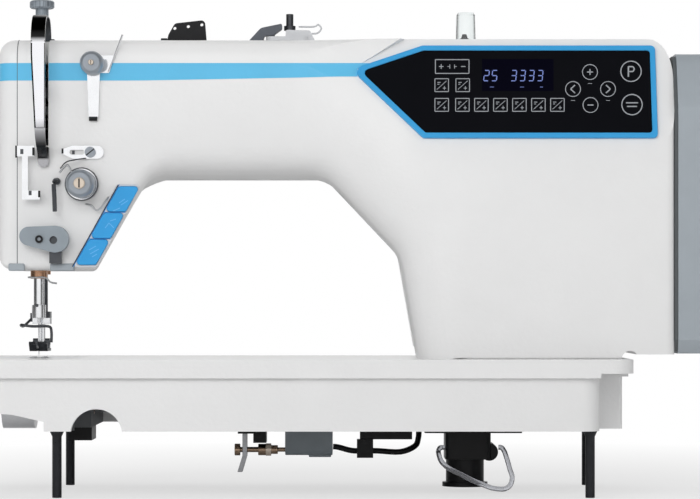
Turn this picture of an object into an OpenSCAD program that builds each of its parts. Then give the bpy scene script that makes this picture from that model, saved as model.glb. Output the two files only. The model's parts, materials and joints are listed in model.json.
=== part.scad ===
// Industrial lockstitch sewing machine head with its drive built in.
// Local axes: X runs along the arm from the needle to the handwheel, Y runs to the back, Z up.
// Sizes below are given from the needle axis and from the top of the bed.

/* [Bed] */
// Length of the bed along the arm
bed_len = 476; // [460:1:520]
// Width of the bed from front to back
bed_w = 178; // [174:1:196]
// Distance from the left end of the bed to the needle
needle_left = 76; // [72:1:84]
// Distance of the needle behind the middle of the bed
needle_offset = 6; // [2:0.5:10]
// Thickness of the rim that rests on the table
rim_t = 12; // [10:0.5:15]
// Depth of the apron below the bed top
apron_d = 47; // [44:1:54]
// Depth of the shallow left part of the apron
apron_left_d = 34.4; // [30:0.2:38]
// Wall thickness of the apron
apron_wall = 6; // [4:0.5:8]
// Thickness of the bed top
bed_top_t = 7; // [5:0.5:9]
// Inset of the apron behind the long edges of the rim
apron_in_y = 4; // [2:0.5:8]
// Inset of the apron behind the short edges of the rim
apron_in_x = 4; // [3:0.5:8]
// Radius of the bed corners
bed_corner_r = 14; // [4:1:16]
// Distance between the two hinge holes in the back of the bed
hinge_spacing = 248; // [230:1:260]
// Radius of the hinge holes
hinge_r = 5; // [3:0.25:6]

/* [Legs] */
// Height of the legs below the apron
leg_h = 44.4; // [38:0.2:60]
// Radius of a leg
leg_r = 3.15; // [2.5:0.05:4.5]
// Radius of a leg's collar
leg_collar_r = 5; // [4.6:0.1:7]

/* [Arm] */
// Height of the head's underside
head_bottom = 59.5; // [56:0.5:66]
// Height of the arm's underside
arm_under = 124; // [118:1:132]
// Height of the arm's top
arm_top = 215; // [208:1:230]
// Distance from the right end of the bed to the column's foot
column_in = 140.5; // [130:0.5:150]
// Width of the column
column_w = 170.5; // [160:0.5:190]
// Front face of the arm ahead of the needle
arm_front = 42; // [40:0.5:48]
// Front face of the column ahead of the needle
column_front = 58; // [52:0.5:64]
// Back face of the arm behind the needle
arm_rear = 48; // [46:0.5:58]
// Wall thickness of the arm casting
arm_wall = 8; // [6:0.5:10]
// Fillet along the front edge of the throat
throat_fillet = 21; // [12:0.5:22]
// Fillet along the front edge of the top
top_fillet = 14; // [8:0.5:18]
// Lean of the control panel's face, in degrees
panel_lean = 17.4; // [10:0.2:20]
// Height of the bottom edge of the control panel
panel_bottom = 146.7; // [142:0.1:150]

/* [Drive] */
// Height of the main shaft above the bed
shaft_z = 165; // [162:0.5:168]
// Radius of the main shaft
shaft_r = 7.5; // [6:0.1:9]
// Depth of the hook shaft below the bed top
hook_d = 31; // [30.5:0.1:32]
// Radius of the hook shaft
hook_shaft_r = 5; // [4:0.1:6]
// Radius of the vertical shaft
vertical_r = 6; // [5:0.1:7]
// Stroke of the needle bar
needle_stroke = 30.7; // [28:0.1:32]
// Radius of the needle bar
needle_bar_r = 3.6; // [3:0.05:4]
// Radius of the presser bar
presser_r = 4; // [3.5:0.05:4.5]
// Radius of the handwheel
wheel_r = 50; // [40:1:58]
// Length of the motor cover
motor_len = 70; // [64:1:90]

/* [Plates] */
// Half width of the plate opening in the bed
plate_half_w = 31; // [28:0.5:34]
// Thickness of the needle plate and slide plate
plate_t = 2; // [1.6:0.1:2.5]
// Right edge of the needle plate
plate_right = 30; // [26:0.5:30.5]
// Height of the raised presser foot above the bed
foot_lift = 4.4; // [4:0.1:5]

/* [Controls] */
// Radius of the main tension knob
tension_r = 9.5; // [8:0.1:11]
// Radius of the pretension knob
pretension_r = 7.9; // [6.5:0.1:9]
// Travel of the three head keys
key_travel = 1.2; // [0.8:0.1:1.4]
// Width of the coloured frame round the control panel
bezel_w = 3.7; // [3:0.1:5]

/* [Hidden] */
$fn = 48;

// Clearances and small allowances
past = 1;
fit_gap = 0.05;
run_gap = 0.06;
slide_gap = 0.15;
part_gap = 0.4;

// Bed extents
bed_x0 = -needle_left;
bed_x1 = bed_len - needle_left;
bed_y0 = -bed_w / 2 - needle_offset;
bed_y1 = bed_w / 2 - needle_offset;
floor_z = -apron_d - leg_h;
apron_x0 = bed_x0 + apron_in_x;
apron_x1 = bed_x1 - apron_in_x;
apron_y0 = bed_y0 + apron_in_y;
apron_y1 = bed_y1 - apron_in_y;
apron_step_x = 12.5;
apron_slope = 6.2;
apron_slope_run = 42;
arch_x = 47;
arch_r = 17;
arch_drop = 2.3;
corner_x = 18.3;
corner_y = 46;
cushion_d = 3;
apron_r = 6;
apron_edge_r = 12;
apron_inner_r = 3;

// Arm and column extents
throat_x = bed_x1 - column_in;
head_x0 = -10.2;
head_right = 43;
diagonal_run = 36.2;
throat_corner_r = 18;
throat_top_x = throat_x - 62.5;
throat_top_r = 28;
throat_low_x = throat_x - 12.5;
throat_low_z = 71;
throat_low_r = 30;
column_x1 = throat_x + column_w;
flare_x0 = throat_x - 84.5;
flare_x1 = throat_x + 2.5;
head_fillet = 5;
diagonal_fillet = 3;
foot_fillet = 1.5;
side_fillet = 6;
overhang_z = 3;
notch_r = 5.5;
notch_in = 30;
station = 15;
arc_steps = 6;
fillet_steps = 5;

// Chambers inside the arm
chamber_front = arm_front - 12;
chamber_rear = arm_rear - 10;
chamber_low = 95;
chamber_top = arm_top - 15;
head_web_x0 = 34;
head_web_x1 = 52;
column_web_x0 = throat_x - 1.5;
column_web_x1 = column_web_x0 + 14;
column_floor = 10;
end_wall = 10;
front_bush_x = head_web_x0;

// Face plate
face_w = 13;
face_round = 10;
face_wall = 4;

// Shafts and gears
bush_wall = 3;
gear_teeth = 20;
gear_r = 16;
low_gear_r = 24;
hook_gear_r = 12;
low_teeth = 32;
hook_teeth = 16;
gear_face = 0.35;
vertical_x = throat_x + 37.5;
hook_z = -hook_d;
crank_r = needle_stroke / 2;
crank_x0 = 22;
crank_x1 = head_web_x0 - 1;
crank_body_r = 23;
pin_r = 4;
link_len = 37;
link_x0 = 10.5;
link_x1 = 15;
link_drop = sqrt(link_len * link_len - crank_r * crank_r);
stud_z = shaft_z - link_drop;
upper_bush_z0 = shaft_z + 1;
upper_bush_z1 = shaft_z + 15;
lower_bush_z0 = head_bottom - 5.5;
lower_bush_z1 = head_bottom + 29;
bar_bush_r = 5.75;
bar_bottom = 27;
bar_top = upper_bush_z1 + needle_stroke / 2 - 5.4;
bar_room = 2;
needle_tip = 1.3;
needle_r = 0.5;
presser_x = 0.6;
presser_y = 15;
presser_bush_r = 6;
presser_shoulder_z = 150;
spring_top = chamber_top - 0.4;
spring_r = 6;
spring_wire_r = 1;
spring_turns = 7;
screw_top = arm_top + 31;
take_up_x = 7.2;
take_up_t = 4;
take_up_y = -14;
take_up_z = shaft_z + 13;
take_up_reach = 40;
take_up_pin_r = 3;
slot_w = 7;
slot_low = arm_top - 72;

// Motor and handwheel
motor_seam = 2.4;
motor_lip = 1.5;
motor_x0 = column_x1 + motor_seam;
motor_x1 = column_x1 + motor_len;
motor_top = arm_top - 10.1;
wheel_x0 = motor_x1 + 4;
wheel_t = 32;
wheel_x1 = wheel_x0 + wheel_t;

// Hook and bobbin
hook_x0 = -24;
hook_x1 = -2;
hook_r = 17.5;
hook_wall = 1.2;
case_wall = 0.9;
bobbin_r = 10.5;

// Feed
dog_half_x = 5.2;
dog_slot_half = 2.3;
dog_half_y = 11;
dog_top = 0.5;
dog_base_z = -8;
bar_base_z = -11.5;
feed_swing = 2.2;
rock_in = 34;
rock_y = apron_y1 - rock_in;
rock_z = -34;
rock_r = 5;
rock_pin_z = -12;
rock_pin_r = 3;
rock_x0 = -14;
rock_x1 = 122;
rock_rib_t = 10;

// Origin of the finished part: middle of the base, on the floor
mid_x = (bed_x0 + wheel_x1) / 2;
mid_y = (bed_y0 + bed_y1) / 2;

// Shared shapes
module in_frame() {
  translate([-mid_x, -mid_y, -floor_z]) children();
}
module block(x0, x1, y0, y1, z0, z1) {
  translate([x0, y0, z0]) cube([x1 - x0, y1 - y0, z1 - z0]);
}
module rod_x(r, x0, x1, y, z) {
  translate([x0, y, z]) rotate([0, 90, 0]) cylinder(r = r, h = x1 - x0);
}
module rod_y(r, x, y0, y1, z) {
  translate([x, y0, z]) rotate([-90, 0, 0]) cylinder(r = r, h = y1 - y0);
}
module rod_z(r, x, y, z0, z1) {
  translate([x, y, z0]) cylinder(r = r, h = z1 - z0);
}
module extrude_x(x0, x1) {
  translate([x0, 0, 0]) rotate([90, 0, 90]) linear_extrude(x1 - x0) children();
}
module extrude_y(y0, y1) {
  translate([0, y1, 0]) rotate([90, 0, 0]) linear_extrude(y1 - y0) children();
}
module extrude_z(z0, z1) {
  translate([0, 0, z0]) linear_extrude(z1 - z0) children();
}
module bush_x(r, wall, x0, x1, y, z) {
  difference() {
    rod_x(r + wall, x0, x1, y, z);
    rod_x(r + run_gap, x0 - past, x1 + past, y, z);
  }
}
module bush_z(r, outer, x, y, z0, z1) {
  difference() {
    rod_z(outer, x, y, z0, z1);
    rod_z(r + run_gap, x, y, z0 - past, z1 + past);
  }
}

// Outlines with rounded corners: each corner is [x, y, radius]
function flat(p) = [p[0], p[1]];
function unit(v) = v / norm(v);
function half_turn(d) = d > 180 ? d - 360 : (d < -180 ? d + 360 : d);
function bearing(v) = atan2(v[1], v[0]);
function corner_arc(a, b, c, r, n) =
  r <= 0 ? [b] :
  let (u = unit(a - b), w = unit(c - b), half = acos(u * w) / 2)
  let (reach = r / tan(half), centre = b + unit(u + w) * r / sin(half))
  let (start = bearing(b + u * reach - centre), end = bearing(b + w * reach - centre))
  [for (i = [0:n])
    let (t = start + half_turn(end - start) * i / n)
    centre + r * [cos(t), sin(t)]];
function rounded(p, n = arc_steps) =
  let (k = len(p))
  [for (i = [0:k - 1])
    each corner_arc(flat(p[(i + k - 1) % k]), flat(p[i]), flat(p[(i + 1) % k]), p[i][2], n)];
function rounded_open(p, n = arc_steps) =
  let (k = len(p))
  concat([flat(p[0])],
    [for (i = [1:k - 2]) each corner_arc(flat(p[i - 1]), flat(p[i]), flat(p[i + 1]), p[i][2], n)],
    [flat(p[k - 1])]);
function rect(x0, x1, y0, y1, r) = [[x0, y0, r], [x1, y0, r], [x1, y1, r], [x0, y1, r]];
function subdivide(p, step) =
  [for (i = [0:len(p) - 1])
    each i == len(p) - 1 ? [p[i]] :
      let (n = max(1, ceil(norm(p[i + 1] - p[i]) / step)))
      [for (j = [0:n - 1]) p[i] + (p[i + 1] - p[i]) * j / n]];
function inset_corner(a, b, c, d) =
  let (u = unit(b - a), w = unit(c - b), m = unit([-u[1], u[0]] + [-w[1], w[0]]))
  b + m * d / ([-u[1], u[0]] * m);

// Tube swept along points, and the rings that it joins
function path_tangent(p, i) = unit(p[min(i + 1, len(p) - 1)] - p[max(i - 1, 0)]);
function side_of(t) = unit(cross(t, abs(t[2]) < 0.9 ? [0, 0, 1] : [0, 1, 0]));
function ring_at(p, i, r, n) =
  let (t = path_tangent(p, i), s = side_of(t), u = cross(s, t))
  [for (k = [0:n - 1]) p[i] + r * (cos(360 * k / n) * s + sin(360 * k / n) * u)];
function loft_faces(rings, n) = concat(
  [for (i = [0:rings - 2], k = [0:n - 1])
    each [[i * n + k, i * n + (k + 1) % n, (i + 1) * n + k],
          [i * n + (k + 1) % n, (i + 1) * n + (k + 1) % n, (i + 1) * n + k]]],
  [[for (k = [n - 1:-1:0]) k]],
  [[for (k = [0:n - 1]) (rings - 1) * n + k]]);
module tube(p, r, n = 8) {
  points = [for (i = [0:len(p) - 1]) each ring_at(p, i, r, n)];
  polyhedron(points, loft_faces(len(p), n));
}
function smooth_point(a, b, c, d, t) =
  0.5 * (2 * b + (c - a) * t + (2 * a - 5 * b + 4 * c - d) * t * t
    + (3 * b - a - 3 * c + d) * t * t * t);
function smooth_path(p, n) =
  let (k = len(p))
  concat([for (i = [0:k - 2], j = [0:n - 1])
      smooth_point(p[max(i - 1, 0)], p[i], p[i + 1], p[min(i + 2, k - 1)], j / n)],
    [p[k - 1]]);

// Bevel gear: teeth at the large end shrink towards the apex, which lies at height apex_h
tooth_root = 0.33;
tooth_tip = 0.09;
tooth_up = 0.52;
tooth_down = 0.82;
module bevel_gear(pitch_r, teeth, apex_h, phase) {
  mod = 2 * pitch_r / teeth;
  step = 360 / teeth;
  lean = norm([pitch_r, apex_h]) / apex_h;
  low = pitch_r - tooth_down * lean * mod;
  high = pitch_r + tooth_up * lean * mod;
  outline = [for (i = [0:teeth - 1])
    each [for (c = [[-tooth_root, low], [-tooth_tip, high], [tooth_tip, high], [tooth_root, low]])
      let (a = phase + (i + c[0]) * step) c[1] * [cos(a), sin(a)]]];
  linear_extrude(height = apex_h * gear_face, scale = 1 - gear_face) polygon(outline);
}

// Bed casting
plate_x0 = bed_x0 - past;
opening_x0 = apron_x0 + apron_wall + 4;
opening_x1 = plate_right - 5;
opening_half = plate_half_w - 5;
rib_t = 12;
hook_rib_x = 26;
pump_half_x = 27;
pump_half_y = 24;
leg_x = [bed_x0 + 95.6, apron_x1 - 24];
leg_y = [apron_y0 + 17, apron_y1 - 14];
leg_shift = [4.2, -8.4];
leg_spots = [
  [leg_x[0], leg_y[0]], [leg_x[0] - leg_shift[0], leg_y[1]],
  [leg_x[1], leg_y[0]], [leg_x[1] - leg_shift[1], leg_y[1]]];
leg_boss_r = 11.5;
rib_front = 24;
hinge_mid_x = (apron_x0 + apron_x1) / 2;
hinge_z = -rim_t - 16;
hinge_boss_r = 10;
hinge_boss_l = 10;
function apron_outline(d) = rounded([
  [apron_x0 + d, apron_y0 + corner_y + d, apron_inner_r],
  [apron_x0 + corner_x + d, apron_y0 + corner_y + d, apron_inner_r],
  [apron_x0 + corner_x + d, apron_y0 + d, apron_edge_r - d],
  [apron_x1 - corner_x - d, apron_y0 + d, apron_edge_r - d],
  [apron_x1 - corner_x - d, apron_y0 + corner_y + d, apron_inner_r],
  [apron_x1 - d, apron_y0 + corner_y + d, apron_inner_r],
  [apron_x1 - d, apron_y1 - d, apron_r],
  [apron_x0 + d, apron_y1 - d, apron_r]]);
module bed_shell() {
  difference() {
    union() {
      extrude_z(-rim_t, 0) polygon(rounded(rect(bed_x0, bed_x1, bed_y0, bed_y1, bed_corner_r)));
      extrude_z(-apron_d, -past) polygon(apron_outline(0));
    }
    extrude_z(-apron_d - past, -bed_top_t) polygon(apron_outline(apron_wall));
    rod_y(arch_r, arch_x, bed_y0, 0, -apron_d - arch_drop);
    for (side = [0, 1])
      cushion_seat(side);
  }
}
// Hollow corner under the rim that takes a rubber cushion of the table
module cushion_seat(side) {
  w = apron_in_x + corner_x;
  x0 = side == 0 ? bed_x0 - past : bed_x1 - w;
  x1 = side == 0 ? bed_x0 + w : bed_x1 + past;
  block(x0, x1, bed_y0 - past, apron_y0 + corner_y, -rim_t - past, -rim_t + cushion_d);
}
module bed_ribs() {
  block(hook_rib_x, hook_rib_x + rib_t, -rib_front, apron_y1 - past, -apron_d, -past);
  block(rock_x1 - rock_rib_t, rock_x1, rock_y - 14, apron_y1 - past, -apron_d, -past);
  for (x = [vertical_x - pump_half_x - rib_t, vertical_x + pump_half_x])
    block(x, x + rib_t, apron_y0 + past, apron_y1 - past, -apron_d, -past);
  intersection() {
    extrude_z(-apron_d, -past) polygon(apron_outline(past));
    union() {
      for (p = leg_spots)
        rod_z(leg_boss_r, p[0], p[1], -apron_d - past, 0);
    }
  }
  for (s = [-1, 1])
    rod_y(hinge_boss_r, hinge_mid_x + s * hinge_spacing / 2, apron_y1 - apron_wall - hinge_boss_l,
      apron_y1 - past, hinge_z);
}
// The apron's lower edge rises to the left of the step
module left_relief() {
  extrude_y(bed_y0 - past, bed_y1 + past) polygon([
    [bed_x0 - past, -apron_d - past], [apron_step_x, -apron_d - past],
    [apron_step_x, -apron_left_d - apron_slope],
    [apron_step_x - apron_slope_run / 2, -apron_left_d - apron_slope / 4],
    [apron_step_x - apron_slope_run, -apron_left_d], [bed_x0 - past, -apron_left_d]]);
}
module bed_bores() {
  block(plate_x0, plate_right, -plate_half_w, plate_half_w, -plate_t - fit_gap, past);
  block(opening_x0, opening_x1, -opening_half, opening_half, -bed_top_t - past, past);
  rod_x(hook_shaft_r + bush_wall + fit_gap, hook_rib_x - past, vertical_x - pump_half_x + past, 0,
    hook_z);
  rod_x(rock_r + run_gap, hook_rib_x - past, rock_x1 + past, rock_y, rock_z);
  rod_z(vertical_r + bush_wall + fit_gap, vertical_x, 0, -bed_top_t - past, past);
  for (s = [-1, 1])
    rod_y(hinge_r, hinge_mid_x + s * hinge_spacing / 2, apron_y1 - apron_wall - hinge_boss_l - past,
      bed_y1 + past, hinge_z);
}
module bed_casting() in_frame() color("whitesmoke") {
  difference() {
    union() {
      bed_shell();
      bed_ribs();
    }
    left_relief();
    bed_bores();
  }
}

// Legs: one rod with a collar, used four times
leg_collar_h = 4;
module legs() in_frame() color("black") {
  for (p = leg_spots) {
    rod_z(leg_r, p[0], p[1], floor_z, -apron_d);
    translate([p[0], p[1], -apron_d - leg_collar_h])
      cylinder(r1 = leg_r, r2 = leg_collar_r, h = leg_collar_h);
  }
}

// Arm casting: the outline of the throat and column, swept to the front with a fillet
throat_corners = [
  [head_x0, head_bottom, 0],
  [head_right, head_bottom, head_fillet],
  [head_right + diagonal_run, arm_under, throat_corner_r],
  [throat_top_x, arm_under, throat_top_r],
  [throat_low_x, throat_low_z, throat_low_r],
  [throat_x, 0, 0]];
throat_path = subdivide(rounded_open(throat_corners), station);
throat_n = len(throat_path);
foot_count = 8;
foot_x0 = throat_x + throat_fillet + 12;
foot_x1 = column_x1 - side_fillet - 8;
foot_path = [for (i = [0:foot_count - 1]) [foot_x0 + (foot_x1 - foot_x0) * i / (foot_count - 1), 0]];
low_path = concat(throat_path, foot_path, [[column_x1, 0]]);
low_n = len(low_path);
shoulder_z = arm_top - top_fillet - 10;
arm_loop = concat(low_path, [[column_x1, shoulder_z]],
  [for (i = [low_n - 1:-1:0]) [low_path[i][0], arm_top]]);
loop_n = len(arm_loop);
function front_y(x) =
  let (t = min(max((x - flare_x0) / (flare_x1 - flare_x0), 0), 1))
  -arm_front - (column_front - arm_front) * t * t * (3 - 2 * t);
function edge_fillet(x) = lookup(x, [
  [head_x0, head_fillet], [head_right - 8, head_fillet], [head_right, diagonal_fillet],
  [head_right + diagonal_run - 14, diagonal_fillet], [head_right + diagonal_run + 14, throat_fillet],
  [throat_x, throat_fillet]]);
function left_normal(a, b) = unit([a[1] - b[1], b[0] - a[0]]);
function edge_inset(i) =
  i == 0 ? [0, head_fillet] :
  i < throat_n - 1 ? edge_fillet(arm_loop[i][0]) * left_normal(arm_loop[i - 1], arm_loop[i + 1]) :
  i == throat_n - 1 ? [throat_fillet, 0] :
  i < low_n - 1 ? [0, foot_fillet] :
  i <= low_n ? [-side_fillet, 0] :
  i == low_n + 1 ? [-side_fillet, -top_fillet] :
  [0, -top_fillet];
function edge_depth(i) =
  i < throat_n ? edge_fillet(arm_loop[i][0]) :
  i < low_n - 1 ? foot_fillet :
  i <= low_n ? side_fillet :
  top_fillet;
function fillet_ring(k) =
  let (a = 90 * k / fillet_steps)
  [for (i = [0:loop_n - 1])
    let (p = arm_loop[i] + edge_inset(i) * (1 - cos(a)))
    [p[0], front_y(p[0]) + edge_depth(i) * (1 - sin(a)), p[1]]];
head_draft = 8;
draft_x0 = 20;
draft_x1 = head_right + diagonal_run + 30;
function clamped(v) = min(max(v, 0), 1);
function draft(x, z) = x > draft_x1 ? 0 :
  head_draft * clamped((x - draft_x0) / 18) * clamped((arm_under - z) / 8);
arm_rear_ring = [for (p = arm_loop) [p[0] - draft(p[0], p[1]), arm_rear, p[1]]];
arm_points = concat(arm_rear_ring, [for (k = [0:fillet_steps]) each fillet_ring(k)]);
function wall_faces(n, rings) =
  [for (k = [0:rings - 2], i = [0:n - 1])
    let (a = k * n + i, b = k * n + (i + 1) % n)
    each [[a, a + n, b + n], [a, b + n, b]]];
function strip_faces(base, n, half) = concat(
  [for (j = [0:half - 2])
    let (a = base + j, b = base + j + 1, c = base + n - 2 - j, d = base + n - 1 - j)
    each [[a, d, c], [a, c, b]]],
  [[base + half - 1, base + half + 1, base + half]]);
function flipped(faces) = [for (f = faces) [f[2], f[1], f[0]]];
module arm_outer() {
  polyhedron(arm_points, concat(
    wall_faces(loop_n, fillet_steps + 2),
    flipped(strip_faces(0, loop_n, low_n)),
    strip_faces((fillet_steps + 1) * loop_n, loop_n, low_n)));
}
arm_corners = concat([for (c = throat_corners) flat(c)],
  [[column_x1, 0], [column_x1, arm_top], [head_x0, arm_top]]);
function arm_inset(d) =
  let (n = len(arm_corners))
  [for (i = [0:n - 1])
    inset_corner(arm_corners[(i + n - 1) % n], arm_corners[i], arm_corners[(i + 1) % n], d)];
cover_x0 = head_right + diagonal_run + 5;
cover_seat = 8;
module arm_pocket(x0, x1, z0, z1, y1 = arm_rear + past) {
  intersection() {
    extrude_y(-chamber_front, y1) polygon(arm_inset(arm_wall));
    block(x0, x1, -chamber_front - past, y1 + past, z0, z1);
  }
}
upper_web_z0 = 112;
upper_web_z1 = 128;
column_pocket_front = column_front - 12;
column_pocket_inset = 26;
panel_far = 90;
bar_web_x = 9;
bar_web_y = 6.4;
module arm_cavities() {
  arm_pocket(head_web_x1 + 6, cover_x0 + cover_seat + past, arm_under + arm_wall, arm_top, chamber_rear);
  arm_pocket(cover_x0 + cover_seat, column_web_x0, 0, arm_top);
  arm_pocket(column_web_x1, column_x1 - end_wall, column_floor, upper_web_z0);
  arm_pocket(column_web_x1, column_x1 - end_wall, upper_web_z1, arm_top);
  block(throat_x + column_pocket_inset + throat_fillet, column_x1 - end_wall, -column_pocket_front,
    -chamber_front + past, column_floor + 6, panel_bottom - 14);
  difference() {
    block(head_x0 - past, head_web_x0, -chamber_front, chamber_rear, chamber_low, chamber_top);
    block(-bar_web_x, bar_web_x, -bar_web_y, chamber_rear + past, upper_bush_z0, upper_bush_z1);
    block(-bar_web_x, take_up_x - slot_w / 2 - part_gap, -chamber_front - past, take_up_y + 6,
      take_up_z - 8, take_up_z + 8);
  }
}
spring_hole_r = spring_r + spring_wire_r + 1;
module arm_bores() {
  rod_x(shaft_r + bush_wall + fit_gap, head_web_x0 - past, column_web_x1 + past, 0, shaft_z);
  rod_x(shaft_r + bush_wall + fit_gap, column_x1 - end_wall - past, column_x1 + past, 0, shaft_z);
  rod_z(vertical_r + bush_wall + fit_gap, vertical_x, 0, -past, column_floor + past);
  rod_z(vertical_r + bush_wall + fit_gap, vertical_x, 0, upper_web_z0 - past, upper_web_z1 + past);
  rod_z(bar_bush_r + fit_gap, 0, 0, head_bottom - past, chamber_low + past);
  rod_z(bar_bush_r + fit_gap, 0, 0, upper_bush_z0 - past, upper_bush_z1 + past);
  rod_z(needle_bar_r + bar_room, 0, 0, chamber_top - past, bar_top + needle_stroke / 2 + bar_room);
  rod_z(presser_bush_r + fit_gap, presser_x, presser_y, head_bottom - past, chamber_low + past);
  rod_z(spring_hole_r, presser_x, presser_y, upper_bush_z0 - past, upper_bush_z1 + past);
  rod_z(pressure_r + fit_gap, presser_x, presser_y, chamber_top - past, arm_top + past);
  rod_x(take_up_pin_r + run_gap, -bar_web_x - past, take_up_x, take_up_y, take_up_z);
  block(take_up_x - slot_w / 2, take_up_x + slot_w / 2, -arm_front - past, take_up_y - 4, slot_low,
    arm_top + past);
  rod_y(lifter_pin_r + run_gap, lifter_x, chamber_rear - past, arm_rear + past, lifter_z);
  rod_y(notch_r, column_x1 - notch_in, -column_front - past, arm_rear + past, 0);
  block(column_x1 - notch_in, column_x1 + past, -column_front - past, arm_rear + past, -past, overhang_z);
}
module panel_frame() {
  translate([0, -column_front, panel_bottom]) rotate([-panel_lean, 0, 0]) children();
}
// The leaning face is cut from the mesh of the loft, which resize keeps at its own size
corner_w = 16;
corner_h = 26;
corner_back = 25;
corner_steps = 8;
module column_corner() {
  extrude_y(-column_front - past, corner_back) polygon(concat(
    [[column_x1 + past, arm_top + past], [column_x1 - corner_w, arm_top + past]],
    [for (i = [0:corner_steps])
      let (a = 90 * i / corner_steps)
      [column_x1 - corner_w * (1 - sin(a)), arm_top - corner_h * (1 - cos(a))]],
    [[column_x1 + past, arm_top - corner_h]]));
}
panel_cut_slope = 1.64;
panel_cut_over = 0.7;
flare_skin = 0.05;
module panel_face_cut() {
  panel_frame() extrude_y(-panel_far, 0) polygon([
    [panel_tip_x, 0], [column_x1 + past, 0], [column_x1 + past, panel_far],
    [panel_tip_x + (panel_far - panel_tip_s - panel_cut_over) * panel_cut_slope, panel_far],
    [panel_tip_x, panel_tip_s + panel_cut_over]]);
  intersection() {
    panel_frame() block(flare_x0, column_x1 + past, -panel_far, 0, 0, panel_far);
    block(flare_x0, column_x1 + past, -column_front - past, -arm_front - flare_skin, panel_bottom,
      arm_top + past);
  }
}
module arm_body() {
  resize([0, 0, 0]) difference() {
    arm_outer();
    panel_face_cut();
    column_corner();
  }
}
module arm_casting() in_frame() color("whitesmoke") {
  difference() {
    arm_body();
    arm_cavities();
    arm_bores();
  }
}

// Face plate on the left end of the head
function face_section(d) = rounded([
  [-arm_front + d, head_bottom + d, max(head_fillet - d, 1)],
  [arm_rear - d, head_bottom + d, max(head_fillet - d, 1)],
  [arm_rear - d, arm_top - d, max(top_fillet - d, 1)],
  [-arm_front + d, arm_top - d, max(top_fillet - d, 1)]], arc_steps);
face_n = len(face_section(0));
face_steps = 6;
function face_ring(x, d) = [for (p = face_section(d)) [x, p[0], p[1]]];
face_rings = concat([face_ring(head_x0, 0)],
  [for (k = [0:face_steps])
    let (a = 90 * k / face_steps)
    face_ring(head_x0 - (face_w - face_round) - face_round * sin(a), face_round * (1 - cos(a)))]);
module face_plate() in_frame() color("whitesmoke") {
  difference() {
    polyhedron([for (r = face_rings) each r], flipped_all(loft_faces(len(face_rings), face_n)));
    block(head_x0 - face_w + face_wall + 3, head_x0 + past, -chamber_front, chamber_rear, chamber_low,
      chamber_top);
  }
}
function flipped_all(faces) = [for (f = faces) [for (i = [len(f) - 1:-1:0]) f[i]]];

// Cover plate on the open back of the arm
cover_t = 3;
cover_lip = 0.6;
cover_low = 7;
module rear_cover() in_frame() color("whitesmoke") {
  intersection() {
    extrude_y(arm_rear, arm_rear + cover_t)
      polygon(rounded([for (p = arm_inset(-cover_lip)) [p[0], p[1], throat_corner_r / 2]]));
    block(cover_x0, column_x1 - 4, arm_rear - past, arm_rear + cover_t + past, cover_low, arm_top - 3);
  }
}
screw_head_r = 4;
screw_head_h = 2.4;
screw_drive = 1.2;
cover_screw_spots = [
  [cover_x0 + 10, arm_top - 12], [cover_x0 + 40, arm_under + 16], [throat_x - 30, arm_top - 12],
  [throat_x + 8, 54], [column_x1 - 16, arm_top - 12], [column_x1 - 16, 54],
  [throat_x - 50, arm_under + 16]];
module cover_screw(x, z) {
  difference() {
    rod_y(screw_head_r, x, arm_rear + cover_t, arm_rear + cover_t + screw_head_h, z);
    block(x - screw_head_r - past, x + screw_head_r + past,
      arm_rear + cover_t + screw_head_h - screw_drive, arm_rear + cover_t + screw_head_h + past,
      z - screw_drive / 2, z + screw_drive / 2);
  }
}
module cover_screws() in_frame() color("silver") {
  for (p = cover_screw_spots)
    cover_screw(p[0], p[1]);
}

// Main shaft with its bevel gear, bushes, crank, motor and handwheel
shaft_x0 = crank_x0 + 2;
gear_hub_r = 12;
crank_hub_r = 12;
module main_shaft() in_frame() color("silver") {
  rod_x(shaft_r, crank_x1, wheel_x1 - 6, 0, shaft_z);
  difference() {
    union() {
      translate([vertical_x - gear_r, 0, shaft_z]) rotate([0, 90, 0])
        bevel_gear(gear_r, gear_teeth, gear_r, 0);
      rod_x(gear_hub_r, column_web_x1 + part_gap, vertical_x - gear_r + fit_gap, 0, shaft_z);
    }
    rod_x(shaft_r - fit_gap, throat_x, vertical_x, 0, shaft_z);
  }
}
module shaft_bushes() in_frame() color("goldenrod") {
  bush_x(shaft_r, bush_wall, head_web_x0, head_web_x1, 0, shaft_z);
  bush_x(shaft_r, bush_wall, column_web_x0, column_web_x1, 0, shaft_z);
  bush_x(shaft_r, bush_wall, column_x1 - end_wall, column_x1, 0, shaft_z);
  bush_x(hook_shaft_r, bush_wall, hook_rib_x, hook_rib_x + rib_t, 0, hook_z);
  bush_x(hook_shaft_r, bush_wall, vertical_x - pump_half_x - rib_t, vertical_x - pump_half_x, 0, hook_z);
  bush_z(vertical_r, vertical_r + bush_wall, vertical_x, 0, -bed_top_t, column_floor);
  bush_z(vertical_r, vertical_r + bush_wall, vertical_x, 0, upper_web_z0, upper_web_z1);
}
rotor_r = 28;
stator_r = 46;
stator_gap = 0.6;
rotor_x0 = column_x1 + 8;
rotor_x1 = motor_x1 - 16;
module motor_rotor() in_frame() color("dimgray") {
  difference() {
    rod_x(rotor_r, rotor_x0, rotor_x1, 0, shaft_z);
    rod_x(shaft_r, rotor_x0 - past, rotor_x1 + past, 0, shaft_z);
  }
}
stator_drop = 12;
module motor_stator() in_frame() color("gray") {
  difference() {
    union() {
      rod_x(stator_r - stator_drop, motor_x0 + 2, rotor_x1, 0, shaft_z);
      block(column_x1, rotor_x1, -stator_r, stator_r, shaft_z - stator_r, shaft_z);
    }
    rod_x(rotor_r + stator_gap, column_x1 + 4, rotor_x1 + past, 0, shaft_z);
    rod_x(shaft_r + bush_wall + 1, column_x1 - past, rotor_x1, 0, shaft_z);
  }
}
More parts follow.
